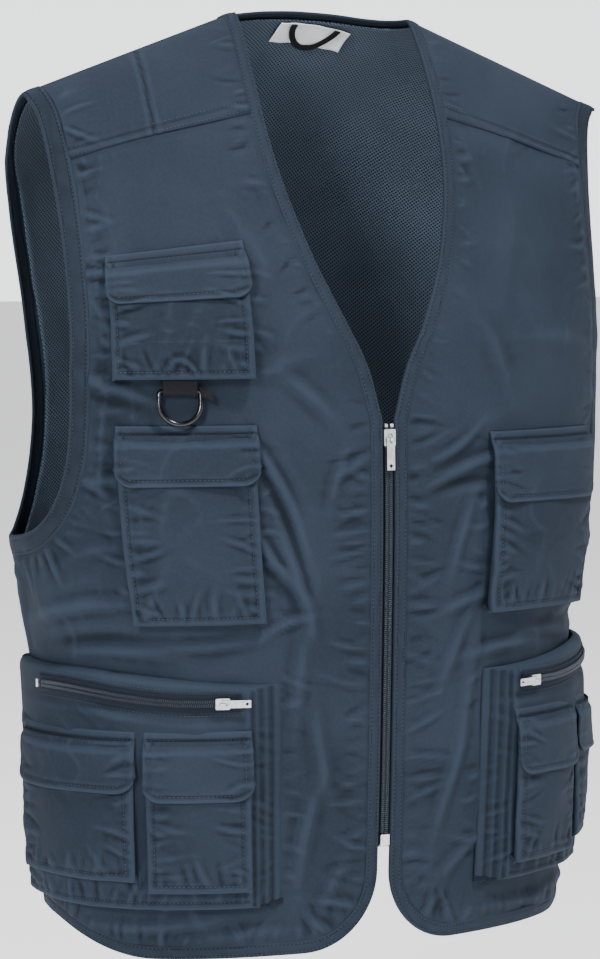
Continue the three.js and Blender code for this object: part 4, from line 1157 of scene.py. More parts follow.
@dataclass
class Shell:
    """The sewn body of the vest: fronts, yokes, back, lining and bindings."""

    tuck: float = 0.9
    front_columns: int = 124
    relief: Relief = field(default_factory=Relief)

    def crease(self) -> None:
        """Sets out the creases and the puckers beside the seams."""
        add = self.relief.add
        for turn, level, lean, long, wide, rise, bow in CREASES:
            add(turn, level, lean, long, wide, rise, bow)
        line = PATTERN.front_line()
        inner = FORM.beside(line, PATTERN.edge_band + 1)
        zip_part = inner[(inner[:, 1] < -250)]
        neck_part = inner[(inner[:, 1] > -250)]
        arm = FORM.beside(PATTERN.armhole(False), PATTERN.arm_band + 1)
        for side in Side:
            seed = 10 + side.value
            self.relief.pucker(mirrored(zip_part, side), side.value, seed, 7, 13, 2.8, 0.95)
            self.relief.pucker(mirrored(neck_part, side), side.value, seed + 3, 13, 9, 2.6, 0.5)
            self.relief.pucker(mirrored(arm, side), side.value, seed + 6, 11, 11, 2.8, 0.55)
            hem = PATTERN.hem_edge(15, 104) + [0, 12]
            self.relief.pucker(mirrored(hem, side), side.value, seed + 9, 12, 7, 2.4, 0.35)
            for name in ("chest_upper", "chest_lower", "chest_left", "hip_main"):
                sizes = POCKETS[name]
                if (name == "chest_left") != (side is Side.LEFT) and name != "hip_main":
                    continue
                mouth, foot = sizes.mouth_level, sizes.foot_level
                for turn, way in ((sizes.start - 0.4, 1), (sizes.end + 0.4, -1)):
                    upright = np.array([[turn, foot], [turn, mouth]])
                    self.relief.pucker(mirrored(upright, side), way * side.value, seed + 20, 16, 9, 2.6, 0.5)

    def lift(self, turn: Array, level: Array) -> Array:
        """Relief of the shell's cloth, in millimetres."""
        wave = waves(turn, level, 0.6, 130, 3) + rumple(turn, level, 1.3, 52, 5, 1.5)
        wave = wave + rumple(turn, level, 0.22, 24, 9)
        soft = self.relief.lift(turn, level) * 2.3 + wave * (1.7 - smoothstep(level, -60, 10) * 0.9)
        return soft * (1 - smoothstep(level, 10, 48))

    def front(self, side: Side) -> None:
        """Makes a front panel and its yoke."""
        inset = PATTERN.edge_band - self.tuck
        rising = FORM.beside(PATTERN.front_line(), inset)[::-1]
        arm = FORM.beside(PATTERN.armhole(False), PATTERN.arm_band - self.tuck)
        under = arm[0]
        bottom = float(PATTERN.hem(np.array([PATTERN.side_seam]))[0]) + inset
        seam = np.stack([np.full(60, under[0]), np.linspace(bottom, under[1], 61)[:-1]], 1)
        top = PATTERN.yoke + 1.5
        outer = np.vstack([seam, between(arm, -1e9, top)])
        outer = FORM.respaced(outer, np.linspace(0, 1, 250))
        inner = FORM.respaced(between(rising, -1e9, top), FORM.shares(outer))
        s = np.linspace(0, 1, self.front_columns)[None, :]
        turn = blend(inner[:, :1], outer[:, :1], s)
        sag = PATTERN.hem(turn) - blend(PATTERN.hem(inner[:, :1]), PATTERN.hem(outer[:, :1]), s)
        t = np.linspace(0, 1, len(outer))[:, None]
        climbed = blend(FORM.climb(*inner.T)[:, None], FORM.climb(*outer.T)[:, None], s)
        level = FORM.level_of(turn, climbed + sag * (1 - smoothstep(t, 0, 0.3)))
        lift = self.lift(side.value * turn, level)
        edge = np.minimum(np.minimum(s, 1 - s) * 200, 14) / 14
        lift = lift * (0.35 + 0.65 * edge) - 0.1 - 0.5 * smoothstep(level, PATTERN.yoke - 4, PATTERN.yoke)
        piece = laid(f"front_cloth_{side.word}", side.value * turn, level, lift, Finish.TWILL, 1.1,
                     [f"front_{side.word}"])

        foot = PATTERN.yoke - 0.5
        outer = FORM.respaced(between(arm, foot, FORM.ridge), np.linspace(0, 1, 44))
        inner = FORM.respaced(between(rising, foot, FORM.ridge), FORM.shares(outer))
        s = np.linspace(0, 1, 70)[None, :]
        turn = blend(inner[:, :1], outer[:, :1], s)
        level = blend(inner[:, 1:], outer[:, 1:], s)
        level = level + 2.2 * np.sin(s * math.pi) * (1 - smoothstep(level, foot, foot + 60))
        lift = self.lift(side.value * turn, level) * 0.6 + 0.55
        lift = lift - 0.6 * smoothstep(level, 20, 55)
        lift = lift - 0.35 * swell(level - foot - 7.5, 1.3)
        lift = lift - 0.25 * swell(level - foot - 1.8, 1)
        if side is Side.RIGHT:
            groove = np.abs(side.value * turn + 36) * 2.6
            lift = lift - 0.8 * swell(groove, 1.0) + 0.35 * swell(groove - 3.2, 1.8)
        laid(f"yoke_cloth_{side.word}", side.value * turn, level, lift, Finish.TWILL, 1.1,
             [f"yoke_{side.word}"])

    def back(self) -> None:
        """Makes the back panel and its mesh lining."""
        self._back_sheet("back_cloth", PATTERN.arm_band - self.tuck, PATTERN.edge_band - self.tuck, 0.0,
                         Finish.TWILL, 1.1, "back_panel", 0.9)
        self._back_sheet("mesh_lining", PATTERN.arm_band - 4, PATTERN.edge_band - 4, -4.0,
                         Finish.MESH, 0.7, "back_lining", 1.6)

    def _back_sheet(self, name: str, arm_inset: float, edge_inset: float, lift: float, finish: Finish,
                    thick: float, node: str, wavy: float) -> None:
        """Makes a sheet across the back."""
        arm = FORM.beside(PATTERN.armhole(True), arm_inset)[::-1]
        foot = float(PATTERN.hem(np.array([180.0]))[0]) + edge_inset
        seam = np.stack([np.full(50, arm[0, 0]), np.linspace(foot, arm[0, 1], 51)[:-1]], 1)
        edge = FORM.respaced(np.vstack([seam, arm]), np.linspace(0, 1, 150))
        neck = FORM.beside(PATTERN.back_neck(), edge_inset)[::-1]
        top = edge[-1, 0]
        wide = 360 - 2 * top
        shares = (neck[:, 0] - top) / wide
        columns = np.concatenate([
            np.linspace(0, shares[0], 24)[:-1], shares, np.linspace(shares[-1], 1, 24)[1:]])
        heights = np.interp(columns, shares, neck[:, 1], left=FORM.ridge, right=FORM.ridge)
        turn = blend(edge[:, :1], 360 - edge[:, :1], columns[None, :])
        dip = np.maximum(0, (edge[:, 1:] - FORM.chest) / FORM.shoulder_run) ** 3
        level = edge[:, 1:] - (FORM.ridge - heights[None, :]) * dip
        wave = waves(turn, level, wavy, 130, 8) + waves(turn, level, wavy * 0.3, 45, 9)
        calm = (1 - smoothstep(level, -120, 10) * 0.8) * (1 - smoothstep(level, 10, 48))
        piece = laid(name, turn, level, lift + wave * calm * 0.8, finish, thick, [node])

    def band(self, name: str, edge: Array, inner: Array, node: str, seed: int) -> None:
        """Makes a folded binding between two lines, with a stitch groove near each side."""
        s = np.array([-0.03, 0, 0.05, 0.13, 0.2, 0.27, 0.4, 0.5, 0.62,
                      0.74, 0.8, 0.87, 0.95, 1, 1.02])[None, :]
        profile = np.interp(s, [-0.03, 0, 0.05, 0.13, 0.2, 0.27, 0.5, 0.74, 0.8, 0.87, 0.95, 1, 1.02],
                            [-1.6, -0.3, 0.45, 0.72, 0.5, 0.82, 0.98, 0.82, 0.5, 0.74, 0.5, -0.2, -0.7])
        turn = blend(edge[:, :1], inner[:, :1], s)
        level = blend(edge[:, 1:], inner[:, 1:], s)
        rng = np.random.default_rng(seed)
        along = FORM.shares(edge)[:, None] * FORM.run(edge)
        ripple = sum(np.sin(along / rng.uniform(2.2, 7) + rng.uniform(0, 6) + s * rng.uniform(-3, 3))
                     for _ in range(5)) * 0.09
        lift = profile + ripple * np.clip(np.sin(np.clip(s, 0, 1) * math.pi) * 1.6, 0, 1)
        laid(name, turn, level, lift, Finish.BINDING, 2.1, [node])

    def bind(self) -> None:
        """Makes all the bindings."""
        line = PATTERN.front_line()
        hem = PATTERN.hem_edge(float(line[-1, 0]), PATTERN.side_seam - 0.1)
        binding = np.vstack([line, hem[1:]])
        binding_in = FORM.beside(binding, PATTERN.edge_band)
        front, back = PATTERN.armhole(False), PATTERN.armhole(True)
        arm = np.vstack([front, back[1:]])
        arm_in = np.vstack([FORM.beside(front, PATTERN.arm_band), FORM.beside(back, PATTERN.arm_band)[1:]])
        for side in Side:
            self.band(f"front_binding_{side.word}", mirrored(binding, side), mirrored(binding_in, side),
                      f"front_band_{side.word}", 31 + side.value)
            self.band(f"armhole_binding_{side.word}", mirrored(arm, side), mirrored(arm_in, side),
                      f"armhole_band_{side.word}", 41 + side.value)
        neck = PATTERN.back_neck()
        self.band("neck_binding", neck, FORM.beside(neck, PATTERN.edge_band), "neck_band", 51)
        hem = PATTERN.hem_edge(PATTERN.side_seam + 0.1, 359.9 - PATTERN.side_seam, 140)
        self.band("back_hem_binding", hem, FORM.beside(hem, PATTERN.edge_band), "hem_band_back", 52)

    def sew(self) -> None:
        """Adds the rows of stitches of the shell."""
        line = PATTERN.front_line()
        hem = PATTERN.hem_edge(float(line[-1, 0]), PATTERN.side_seam - 0.5)
        binding = np.vstack([line, hem[1:]])
        front, back = PATTERN.armhole(False), PATTERN.armhole(True)
        yoke_arm = FORM.beside(front, PATTERN.arm_band)
        rising = FORM.beside(line, PATTERN.edge_band)[::-1]
        for side in Side:
            sewn = Stitching(f"stitches_{side.word}")
            for offset in (2.0, 8.0):
                sewn.on_form(mirrored(FORM.beside(binding, offset), side), 0.55)
            for offset in (3.2, 12.8):
                sewn.on_form(mirrored(FORM.beside(front, offset), side), 0.55)
                sewn.on_form(mirrored(FORM.beside(back, offset), side), 0.55)
            for up in (1.3, 7.0):
                level = PATTERN.yoke + up
                start = np.interp(level, rising[:, 1], rising[:, 0])
                end = np.interp(level, yoke_arm[:, 1], yoke_arm[:, 0])
                turns = np.linspace(start + 0.4, end - 0.4, 40)
                share = (turns - start) / (end - start)
                seam = np.stack([turns, level + 2.2 * np.sin(share * math.pi)], 1)
                sewn.on_form(mirrored(seam, side), 0.55)
            if side is Side.RIGHT:
                for offset in (-0.9, 0.9):
                    sewn.on_form(np.array([[-36 + offset, 52.0], [-36 + offset, PATTERN.yoke + 9]]), 0.55)
            sewn.finish()
        sewn = Stitching("stitches_back")
        neck = PATTERN.back_neck()
        back_hem = PATTERN.hem_edge(PATTERN.side_seam + 0.5, 359.5 - PATTERN.side_seam, 140)
        for offset in (2.0, 8.0):
            sewn.on_form(FORM.beside(neck, offset), 0.55)
            sewn.on_form(FORM.beside(back_hem, offset), 0.55)
        sewn.finish()

    def build(self) -> None:
        """Makes the whole shell."""
        self.crease()
        for side in Side:
            self.front(side)
        self.back()
        self.bind()
        self.sew()


@dataclass(frozen=True)
class PocketSizes:
    """One row of pocket sizes: turns, and shares of the body length down from the ridge."""

    start: float
    end: float
    mouth: float
    foot: float
    depth: float
    mouth_depth: float
    flap: float = 0.0

    @property
    def mouth_level(self) -> float:
        """Level of the mouth."""
        return FORM.ridge - self.mouth * FORM.length

    @property
    def foot_level(self) -> float:
        """Level of the foot."""
        return FORM.ridge - self.foot * FORM.length

    @property
    def flap_level(self) -> float:
        """Level of the flap's lower edge."""
        return FORM.ridge - self.flap * FORM.length


POCKETS = {
    "chest_upper": PocketSizes(22.6, 51.5, 0.256, 0.402, 12, 7, 0.3),
    "chest_lower": PocketSizes(22.6, 51.5, 0.458, 0.65, 12, 7, 0.51),
    "chest_left": PocketSizes(18.5, 51.5, 0.472, 0.653, 12, 7, 0.538),
    "hip_main": PocketSizes(19.5, 101, 0.697, 0.944, 11, 9),
    "hip_inner": PocketSizes(27, 50.5, 0.768, 0.924, 8.5, 6, 0.83),
    "hip_outer": PocketSizes(53.5, 92, 0.768, 0.913, 8.5, 6, 0.822),
}

# Creases that the worn cloth shows. Turn and level of the middle, lean in degrees, half-length,
# half-width, rise and bow in millimetres.
CREASES: tuple[tuple[float, ...], ...] = (
    (-57, -228, -14, 34, 5, 1.9, 3), (-56, -240, -10, 26, 5, -1.1, 2), (-59, -128, 12, 20, 4, 1.5, 2),
    (-58, -300, 4, 24, 6, 1.3, -2), (-61, -350, 14, 30, 7, 1.6, 3), (-70, -392, 10, 44, 8, 2.0, 4),
    (-66, -415, 6, 40, 7, -1.3, 2), (-55, -423, -3, 36, 6, 1.2, 3), (-36, -420, 3, 40, 5, 1.0, -2),
    (-19, -300, -62, 40, 6, 1.6, 3), (-17, -330, -70, 44, 5, -1.2, 3), (-20, -360, -56, 30, 5, 1.2, -2),
    (-15, -385, -74, 40, 6, 1.3, 2), (-16, -440, 82, 60, 8, 1.5, 5), (-12, -500, -80, 60, 8, 1.2, -4),
    (-15, -560, 78, 50, 8, 1.3, 4), (-9, -600, 60, 34, 7, 1.0, 3), (-12, -240, -40, 30, 8, 1.2, 3),
    (-17, -215, 20, 30, 9, 1.0, 4), (-18, -404, 20, 20, 4, 1.1, 2), (-8, -300, 70, 26, 6, 0.9, 2),
    (15, -292, 14, 34, 6, 1.7, 4), (13, -306, 8, 28, 5, -1.1, 3), (11, -280, 30, 24, 5, 1.1, -3),
    (12, -350, 74, 36, 6, 0.9, 3), (14, -395, 14, 26, 6, 1.2, 3), (12, -430, 64, 44, 7, 1.2, 4),
    (15, -480, 80, 54, 8, 1.4, -4), (11, -540, 72, 44, 7, 1.2, 4), (15, -590, 40, 32, 7, 1.1, 3),
    (25, -432, 4, 40, 6, 1.1, 3), (44, -424, -6, 36, 6, 1.0, 3), (58, -352, -14, 30, 7, 1.3, 3),
    (62, -400, 12, 40, 8, 1.7, 4), (70, -420, -8, 44, 8, -1.2, 3), (40, -200, -8, 44, 12, 1.0, 5),
    (24, -130, 70, 60, 14, 1.1, 5), (20, -210, -62, 44, 10, 1.0, 4), (-20, -120, -68, 50, 12, 1.0, 4),
    (-28, -634, 3, 50, 6, 0.9, 3), (-50, -628, 4, 50, 6, 0.9, -3), (34, -634, -3, 50, 6, 0.9, 3),
    (60, -628, 5, 44, 6, 0.8, 3), (96, -300, 80, 40, 9, 1.4, 4), (-96, -390, 70, 50, 9, 1.6, 4),
)

@dataclass
class PatchPocket:
    """A patch pocket with bellows sides, and the flap that covers its mouth."""

    name: str
    node: str
    side: Side
    sizes: PocketSizes
    seed: int
    ground: Callable[[Array, Array], Array] = lambda turn, level: np.zeros_like(turn)
    shut: bool = False
    slope: float = 0.0
    pleats: bool = False
    bulge: float = 3.0
    calm: Callable[[Array, Array], Array] | None = None
    relief: Relief = field(default_factory=Relief)

    @property
    def per_turn(self) -> float:
        """Millimetres in one degree of turn at the pocket's middle."""
        middle = np.array([(self.sizes.start + self.sizes.end) / 2])
        return float(FORM.scale(middle, np.array([self.sizes.foot_level]))[0][0])

    def mouth_at(self, turn: Array) -> Array:
        """Level of the mouth, which may dip towards the front."""
        back = (turn - self.sizes.start) / (self.sizes.end - self.sizes.start)
        return self.sizes.mouth_level - self.slope * (1 - smoothstep(back, 0, 0.65))

    def rise(self, turn: Array, level: Array) -> Array:
        """Lift of the plain front face."""
        up = (level - self.sizes.foot_level) / (self.sizes.mouth_level - self.sizes.foot_level)
        return self.ground(turn, level) + blend(self.sizes.depth, self.sizes.mouth_depth, np.clip(up, 0, 1))

    def face(self, turn: Array, level: Array) -> Array:
        """Lift of the front face with its soft bulge, puckers and waves."""
        across = (turn - self.sizes.start) / (self.sizes.end - self.sizes.start)
        up = (level - self.sizes.foot_level) / (self.sizes.mouth_level - self.sizes.foot_level)
        crown = np.sin(np.clip(across, 0, 1) * math.pi) * self.bulge
        crown = crown * np.sin(np.clip(up * 0.9, 0, 1) * math.pi)
        turned = self.side.value * turn
        soft = crown + self.relief.lift(turned, level) * 2.0 + rumple(turned, level, 2.6, 52, self.seed)
        soft = soft + rumple(turned, level, 0.45, 19, self.seed + 1)
        if self.calm is not None:
            soft = soft * self.calm(turn, level)
        return self.rise(turn, level) + soft

    def columns(self, pleated: bool = False) -> tuple[Array, Array]:
        """Distances from a sewn edge and shares of the depth there, outwards to the face."""
        if pleated:
            rows = [(0, 0), (1.2, 0.12), (3.4, 0.24), (5, 0.21), (6.6, 0.3), (8.4, 0.48), (10.2, 0.47),
                    (11.8, 0.55), (13.6, 0.76), (15, 0.77), (16.4, 0.84), (17.4, 0.95), (18.6, 1)]
        else:
            rows = [(4.2, 0), (2.8, 0.2), (1.1, 0.45), (0.25, 0.68),
                    (0, 0.8), (0.25, 0.9), (0.9, 0.97), (1.9, 1)]
        table = np.array(rows)
        return table[:, 0], table[:, 1]

    def bag(self) -> None:
        """Makes the bag's front and bellows."""
        sizes, per = self.sizes, self.per_turn
        first, first_share = self.columns(self.pleats)
        last, last_share = self.columns()
        wide = (sizes.end - sizes.start) * per
        inner = np.linspace(first[-1], wide - last[-1], max(24, int(wide / 1.9)))[1:-1]
        at = np.concatenate([first, inner, wide - last[::-1]])
        share_s = np.concatenate([first_share, np.ones(len(inner)), last_share[::-1]])
        foot, foot_share = self.columns()
        high = sizes.mouth_level - sizes.foot_level
        if self.shut:
            top = np.array([9, 6.2, 4, 2.2, 0.9, 0.2, 0, 0.3])
            top_share = np.array([1, 0.97, 0.9, 0.79, 0.6, 0.38, 0.2, 0.02])
        else:
            top, top_share = np.array([2.0, 0.0]), np.array([1.0, 1.0])
        middle = np.linspace(foot[-1], high - top[0], max(24, int(high / 1.9)))[1:-1]
        up = np.concatenate([foot, middle, high - top])
        share_t = np.concatenate([foot_share, np.ones(len(middle)), top_share])
        turn = np.broadcast_to(sizes.start + at[None, :] / per, (len(up), len(at)))
        stretch = (self.mouth_at(turn) - sizes.foot_level) / high
        level = sizes.foot_level + up[:, None] * stretch
        share = np.minimum(share_s[None, :], share_t[:, None])
        base = self.ground(turn, level) + 0.6
        lift = base + (self.face(turn, level) - base) * share
        edge = np.minimum(np.minimum(at, wide - at)[None, :], up[:, None])
        lift = lift - 0.45 * swell(edge - 5.5, 1.2) * (share > 0.98)
        laid(f"{self.name}_front", self.side.value * turn, level, lift, Finish.POCKET, 1.2,
             [f"{self.node}_bag"])

    def flap_lift(self, turn: Array, level: Array, low: Array) -> Array:
        """Lift of the flap's outer face, given the level of its lower edge."""
        sizes = self.sizes
        over = np.clip(turn, sizes.start + 2, sizes.end - 2)
        head = sizes.mouth_level + 7
        bag_level = np.minimum(level, sizes.mouth_level)
        on_bag = blend(self.rise(over, bag_level), self.face(over, bag_level), 0.6) + 2.8
        rng = np.random.default_rng(self.seed + 5)
        wave = 0.6 + 0.5 * np.sin((turn - sizes.start) * rng.uniform(0.22, 0.3) + rng.uniform(0, 6))
        curl = 2.0 * wave * np.exp(-(level - low) / 9)
        side = np.minimum(turn - sizes.start, sizes.end - turn) * self.per_turn
        droop = 1.1 * np.exp(-np.maximum(side, 0) / 5)
        sewn = self.ground(turn, level) + 2.2
        down = smoothstep(level, sizes.mouth_level - 9, head - 1.5)
        roll = 0.9 * swell(level - head + 3.2, 2.6)
        return blend(on_bag + curl - droop, sewn, down) + roll

    def flap(self, sewn: Stitching) -> None:
        """Makes the flap and its topstitching."""
        sizes, per = self.sizes, self.per_turn
        start, end, head = sizes.start - 0.55, sizes.end + 0.55, sizes.mouth_level + 7
        wide, corner = (end - start) * per, 12.0
        edge = np.array([0, 0.25, 0.7, 1.5, 2.6, 4, 6, 8, 10, 12])
        at = np.concatenate([edge, np.linspace(12, wide - 12, int(wide / 2.1))[1:-1], wide - edge[::-1]])
        inset = np.clip(np.minimum(at, wide - at) / corner, 0, 1)
        low = sizes.flap_level + corner * (1 - np.sqrt(1 - (1 - inset) ** 2))
        high = head - sizes.flap_level
        rows = np.concatenate([[0, 0.25, 0.7, 1.5, 2.6, 4], np.linspace(5.5, high - 8, int(high / 2)),
                               high - np.array([7, 6, 5, 4, 3, 2, 1.2, 0.6, 0.2, 0])]) / high
        turn = np.broadcast_to(start + at[None, :] / per, (len(rows), len(at)))
        level = low[None, :] + rows[:, None] * (head - low[None, :])
        lift = self.flap_lift(turn, level, low[None, :])
        near = np.minimum(np.minimum(at, wide - at)[None, :] + 0 * level, level - low[None, :])
        lift = lift - 1.0 * swell(near, 0.6) - 0.4 * swell(near - 5, 1.1)
        top = head - level
        lift = lift - 1.1 * swell(top, 0.7) - 0.3 * swell(top - 6.3, 1.1)
        ripple = rumple(self.side.value * turn, level, 0.3, 26, self.seed + 7)
        name = f"{self.name}_flap_cloth"
        laid(name, self.side.value * turn, level, lift + ripple, Finish.TWILL, 1.6, [f"{self.node}_flap"])

        def sewn_lift(turn: Array, level: Array) -> Array:
            """Lift of the flap's face under its stitches."""
            away = np.abs(turn)
            return self.flap_lift(away, level, np.interp(away, start + at / per, low)) - 0.35

        in_turn = 5 / per
        bow = np.linspace(0, math.pi / 2, 9)
        left_turn = start + in_turn + 8 / per * (1 - np.sin(bow))
        left = np.stack([left_turn, sizes.flap_level + 5 + 8 * (1 - np.cos(bow))], 1)[::-1]
        right = left[::-1] * [-1, 1] + [start + end, 0]
        line = np.vstack([[start + in_turn, head - 7.5], left, right, [end - in_turn, head - 7.5]])
        sewn.on_form(line * [self.side.value, 1], sewn_lift)
        for down in (1.6, 6.4):
            seam = np.stack([np.linspace(start + 0.4, end - 0.4, 20), np.full(20, head - down)], 1)
            sewn.on_form(seam * [self.side.value, 1], sewn_lift)

    def edges(self, sewn: Stitching) -> None:
        """Sews round the bag's front face."""
        sizes, per = self.sizes, self.per_turn
        inset = 5.5 / per
        top = sizes.mouth_level - (14 if self.shut else 6)
        line = np.array([[sizes.start + inset + (16 / per if self.pleats else 0), top],
                         [sizes.start + inset + (16 / per if self.pleats else 0), sizes.foot_level + 5.5],
                         [sizes.end - inset, sizes.foot_level + 5.5], [sizes.end - inset, top]])
        for a, b in zip(line[:-1], line[1:]):
            path = blend(a[None, :], b[None, :], np.linspace(0, 1, 30)[:, None]) * [self.side.value, 1]
            sewn.on_form(path, lambda t, v: self.face(np.abs(t), v) - 0.35)

    def crease(self) -> None:
        """Puckers the cloth beside the pocket's own seams."""
        sizes, sign = self.sizes, self.side.value
        seams = (
            ([[sizes.start + 1.4, sizes.foot_level], [sizes.start + 1.4, sizes.mouth_level]], -1),
            ([[sizes.end - 1.4, sizes.foot_level], [sizes.end - 1.4, sizes.mouth_level]], 1),
            ([[sizes.start, sizes.foot_level + 5], [sizes.end, sizes.foot_level + 5]], 1),
        )
        for number, (line, way) in enumerate(seams):
            path = blend(np.array(line[0]), np.array(line[1]), np.linspace(0, 1, 12)[:, None])
            self.relief.pucker(path * [sign, 1], way * sign, self.seed + 30 + number, 9, 9, 2.6, 0.6)

    def build(self, sewn: Stitching, flap: bool = True) -> None:
        """Makes the whole pocket."""
        self.crease()
        self.bag()
        self.edges(sewn)
        if flap:
            self.flap(sewn)


def hardware(name: str, node: str, finish: Finish, bevel: float, body: str = "vest") -> bpy.types.Object:
    """Makes a metal piece from its CAD node, merged and with softened edges.

    Args:
        name: Piece name.
        node: CAD node.
        finish: Its finish.
        bevel: Width of the softened edges in millimetres.
        body: Body that it rides on.

    Returns:
        The new object.
    """
    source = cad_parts[node]
    work = bmesh.new()
    work.from_mesh(source.data)
    work.transform(source.matrix_world)
    bmesh.ops.remove_doubles(work, verts=work.verts[:], dist=1e-6)
    bmesh.ops.dissolve_limit(work, angle_limit=math.radians(3), verts=work.verts[:], edges=work.edges[:])
    sharp = [edge for edge in work.edges if edge.calc_face_angle(0) > math.radians(40)]
    bmesh.ops.bevel(work, geom=sharp, offset=bevel * MM, offset_type="OFFSET", segments=2, profile=0.5,
                    affect="EDGES", clamp_overlap=True, material=-1)
    bmesh.ops.recalc_face_normals(work, faces=work.faces[:])
    piece = finished(name, work, finish, [node], body)
    piece.modifiers.new("even_shading", "WEIGHTED_NORMAL")
    return piece


def coil(name: str, points: Array, outs: Array, half: float, pitch: float, replaces: Sequence[str]) -> None:
    """Makes a closed zip coil from interlocking lobes.

    Args:
        name: Piece name.
        points: Centre line, in metres.
        outs: Directions out of the cloth along it.
        half: Half-width in millimetres.
        pitch: Distance between the loops of one side, in millimetres.
        replaces: CAD nodes that it stands for.
    """
    work = bmesh.new()
    run = np.concatenate([[0], np.cumsum(np.linalg.norm(np.diff(points, axis=0), axis=1))])
    count = int(run[-1] / (pitch * MM) * 2)
    for k in range(count):
        at = (k + 0.5) / count * run[-1]
        centre, out = read_rows(at, run, points), read_rows(at, run, outs)
        ahead, behind = read_rows(min(at + MM, run[-1]), run, points), read_rows(max(at - MM, 0), run, points)
        way = (ahead - behind) / np.linalg.norm(ahead - behind)
        side = np.cross(out, way) * (1 if k % 2 else -1)
        axes = (side * half * 0.53 * MM, way * pitch * 0.36 * MM, out * 0.95 * MM)
        basis = Matrix(axes).transposed().to_4x4()
        place = Matrix.Translation(centre + side * half * 0.47 * MM)
        bmesh.ops.create_icosphere(work, subdivisions=2, radius=1, matrix=place @ basis)
    finished(name, work, Finish.COIL, replaces)


@dataclass
class FrontZip:
    """The front zip, with its tapes, coil, slider and pull."""

    top: float = -264.0
    foot: float = -576.0
    coil_foot: float = -566.6
    coil_half: float = 3.5

    def build(self) -> None:
        """Makes the whole zip."""
        level = np.linspace(self.foot, self.top, 110)[:, None]
        for side in Side:
            x = side.value * np.linspace(0.3, 15.6, 14)[None, :]
            turn = FORM.turn_at(x, level)
            flat = np.broadcast_to(level, turn.shape)
            lift = -2.4 + waves(turn, flat, 0.12, 30, 61)
            laid(f"zip_tape_cloth_{side.word}", turn, flat, lift, Finish.TAPE, 0.6, [f"zip_tape_{side.word}"])
            hardware(f"zip_stop_{side.word}", f"zip_top_stop_{side.word}", Finish.SILVER, 0.25)
        height = np.linspace(self.coil_foot, self.top, 150)
        line = FORM.place(height * 0, height, -0.75)
        coil("front_zip_coil", line, FORM.outward(height * 0, height), self.coil_half, 1.5,
             ["zip_coil_right", "zip_coil_left"])
        sewn = Stitching("stitches_zip", 2.4, 1.7, 0.4)
        for x in (-2.1, 2.1):
            sewn.on_form(np.stack([FORM.turn_at(x + 0 * height, height), height], 1), 0.15)
        sewn.finish()
        hardware("pin_box", "zip_box", Finish.SILVER, 0.4)
        hardware("slider", "zip_slider", Finish.SILVER, 0.3)
        hardware("slider_pull", "zip_pull", Finish.SILVER, 0.22, "zip_pull")


@dataclass
class HipPocket:
    """A large hip pocket with a zip across its top and two small flapped pockets on it."""

    side: Side
    drop: float = 0.7163 * FORM.length
    fall: float = 10.0
    start: float = 30.0
    end: float = 83.0

    def zip_level(self, turn: Array) -> Array:
        """Level of the zip at a turn."""
        along = (turn - self.start) / (self.end - self.start)
        return FORM.ridge - self.drop - self.fall * (1 - smoothstep(along, 0.15, 0.9))

    def calm(self, turn: Array, level: Array) -> Array:
        """Share of the relief that is left near the zip."""
        return smoothstep(np.abs(level - self.zip_level(turn)), 7, 17)

    def zip(self, main: PatchPocket) -> None:
        """Makes the zip on the main bag."""
        word = self.side.word
        turn = np.linspace(self.start - 1.4, self.end + 1.4, 130)[None, :]
        up = np.linspace(-6.4, 6.4, 9)[:, None]
        level = self.zip_level(turn) + up
        wide = np.broadcast_to(turn, level.shape)
        lift = main.rise(wide, level) + 1.1
        laid(f"hip_{word}_tape_cloth", self.side.value * wide, level, lift, Finish.TAPE, 0.5,
             [f"hip_{word}_zip_tape"])
        turn = np.linspace(self.start, self.end, 140)
        level = self.zip_level(turn)
        line = FORM.place(self.side.value * turn, level, main.rise(turn, level) + 2.2)
        coil(f"hip_{word}_coil", line, FORM.outward(self.side.value * turn, level), 2.95, 1.5,
             [f"hip_{word}_zip_coil"])
        hardware(f"hip_{word}_stop", f"hip_{word}_zip_stop", Finish.SILVER, 0.25)
        hardware(f"hip_{word}_slider", f"hip_{word}_zip_slider", Finish.SILVER, 0.26)
        hardware(f"hip_{word}_pull", f"hip_{word}_zip_pull", Finish.SILVER, 0.18, f"hip_{word}_zip_pull")

    def build(self) -> None:
        """Makes the whole pocket."""
        word = self.side.word
        sewn = Stitching(f"stitches_hip_{word}")
        seed = 200 if self.side is Side.RIGHT else 300
        main = PatchPocket(f"hip_{word}_main", f"hip_{word}", self.side, POCKETS["hip_main"], seed,
                           shut=True, slope=12, pleats=True, calm=self.calm)
        main.build(sewn, flap=False)
        for turn_shift in (-9.2, 9.2):
            turns = np.linspace(self.start - 1, self.end + 1, 60)
            path = np.stack([self.side.value * turns, self.zip_level(turns) + turn_shift], 1)
            sewn.on_form(path, lambda t, v: main.face(np.abs(t), v) + 0.05)
        for number, part in enumerate(("inner", "outer")):
            small = PatchPocket(f"hip_{word}_{part}_pocket", f"hip_{word}_{part}", self.side,
                                POCKETS[f"hip_{part}"], seed + 40 * (number + 1), ground=main.rise)
            small.build(sewn)
        self.zip(main)
        sewn.finish()


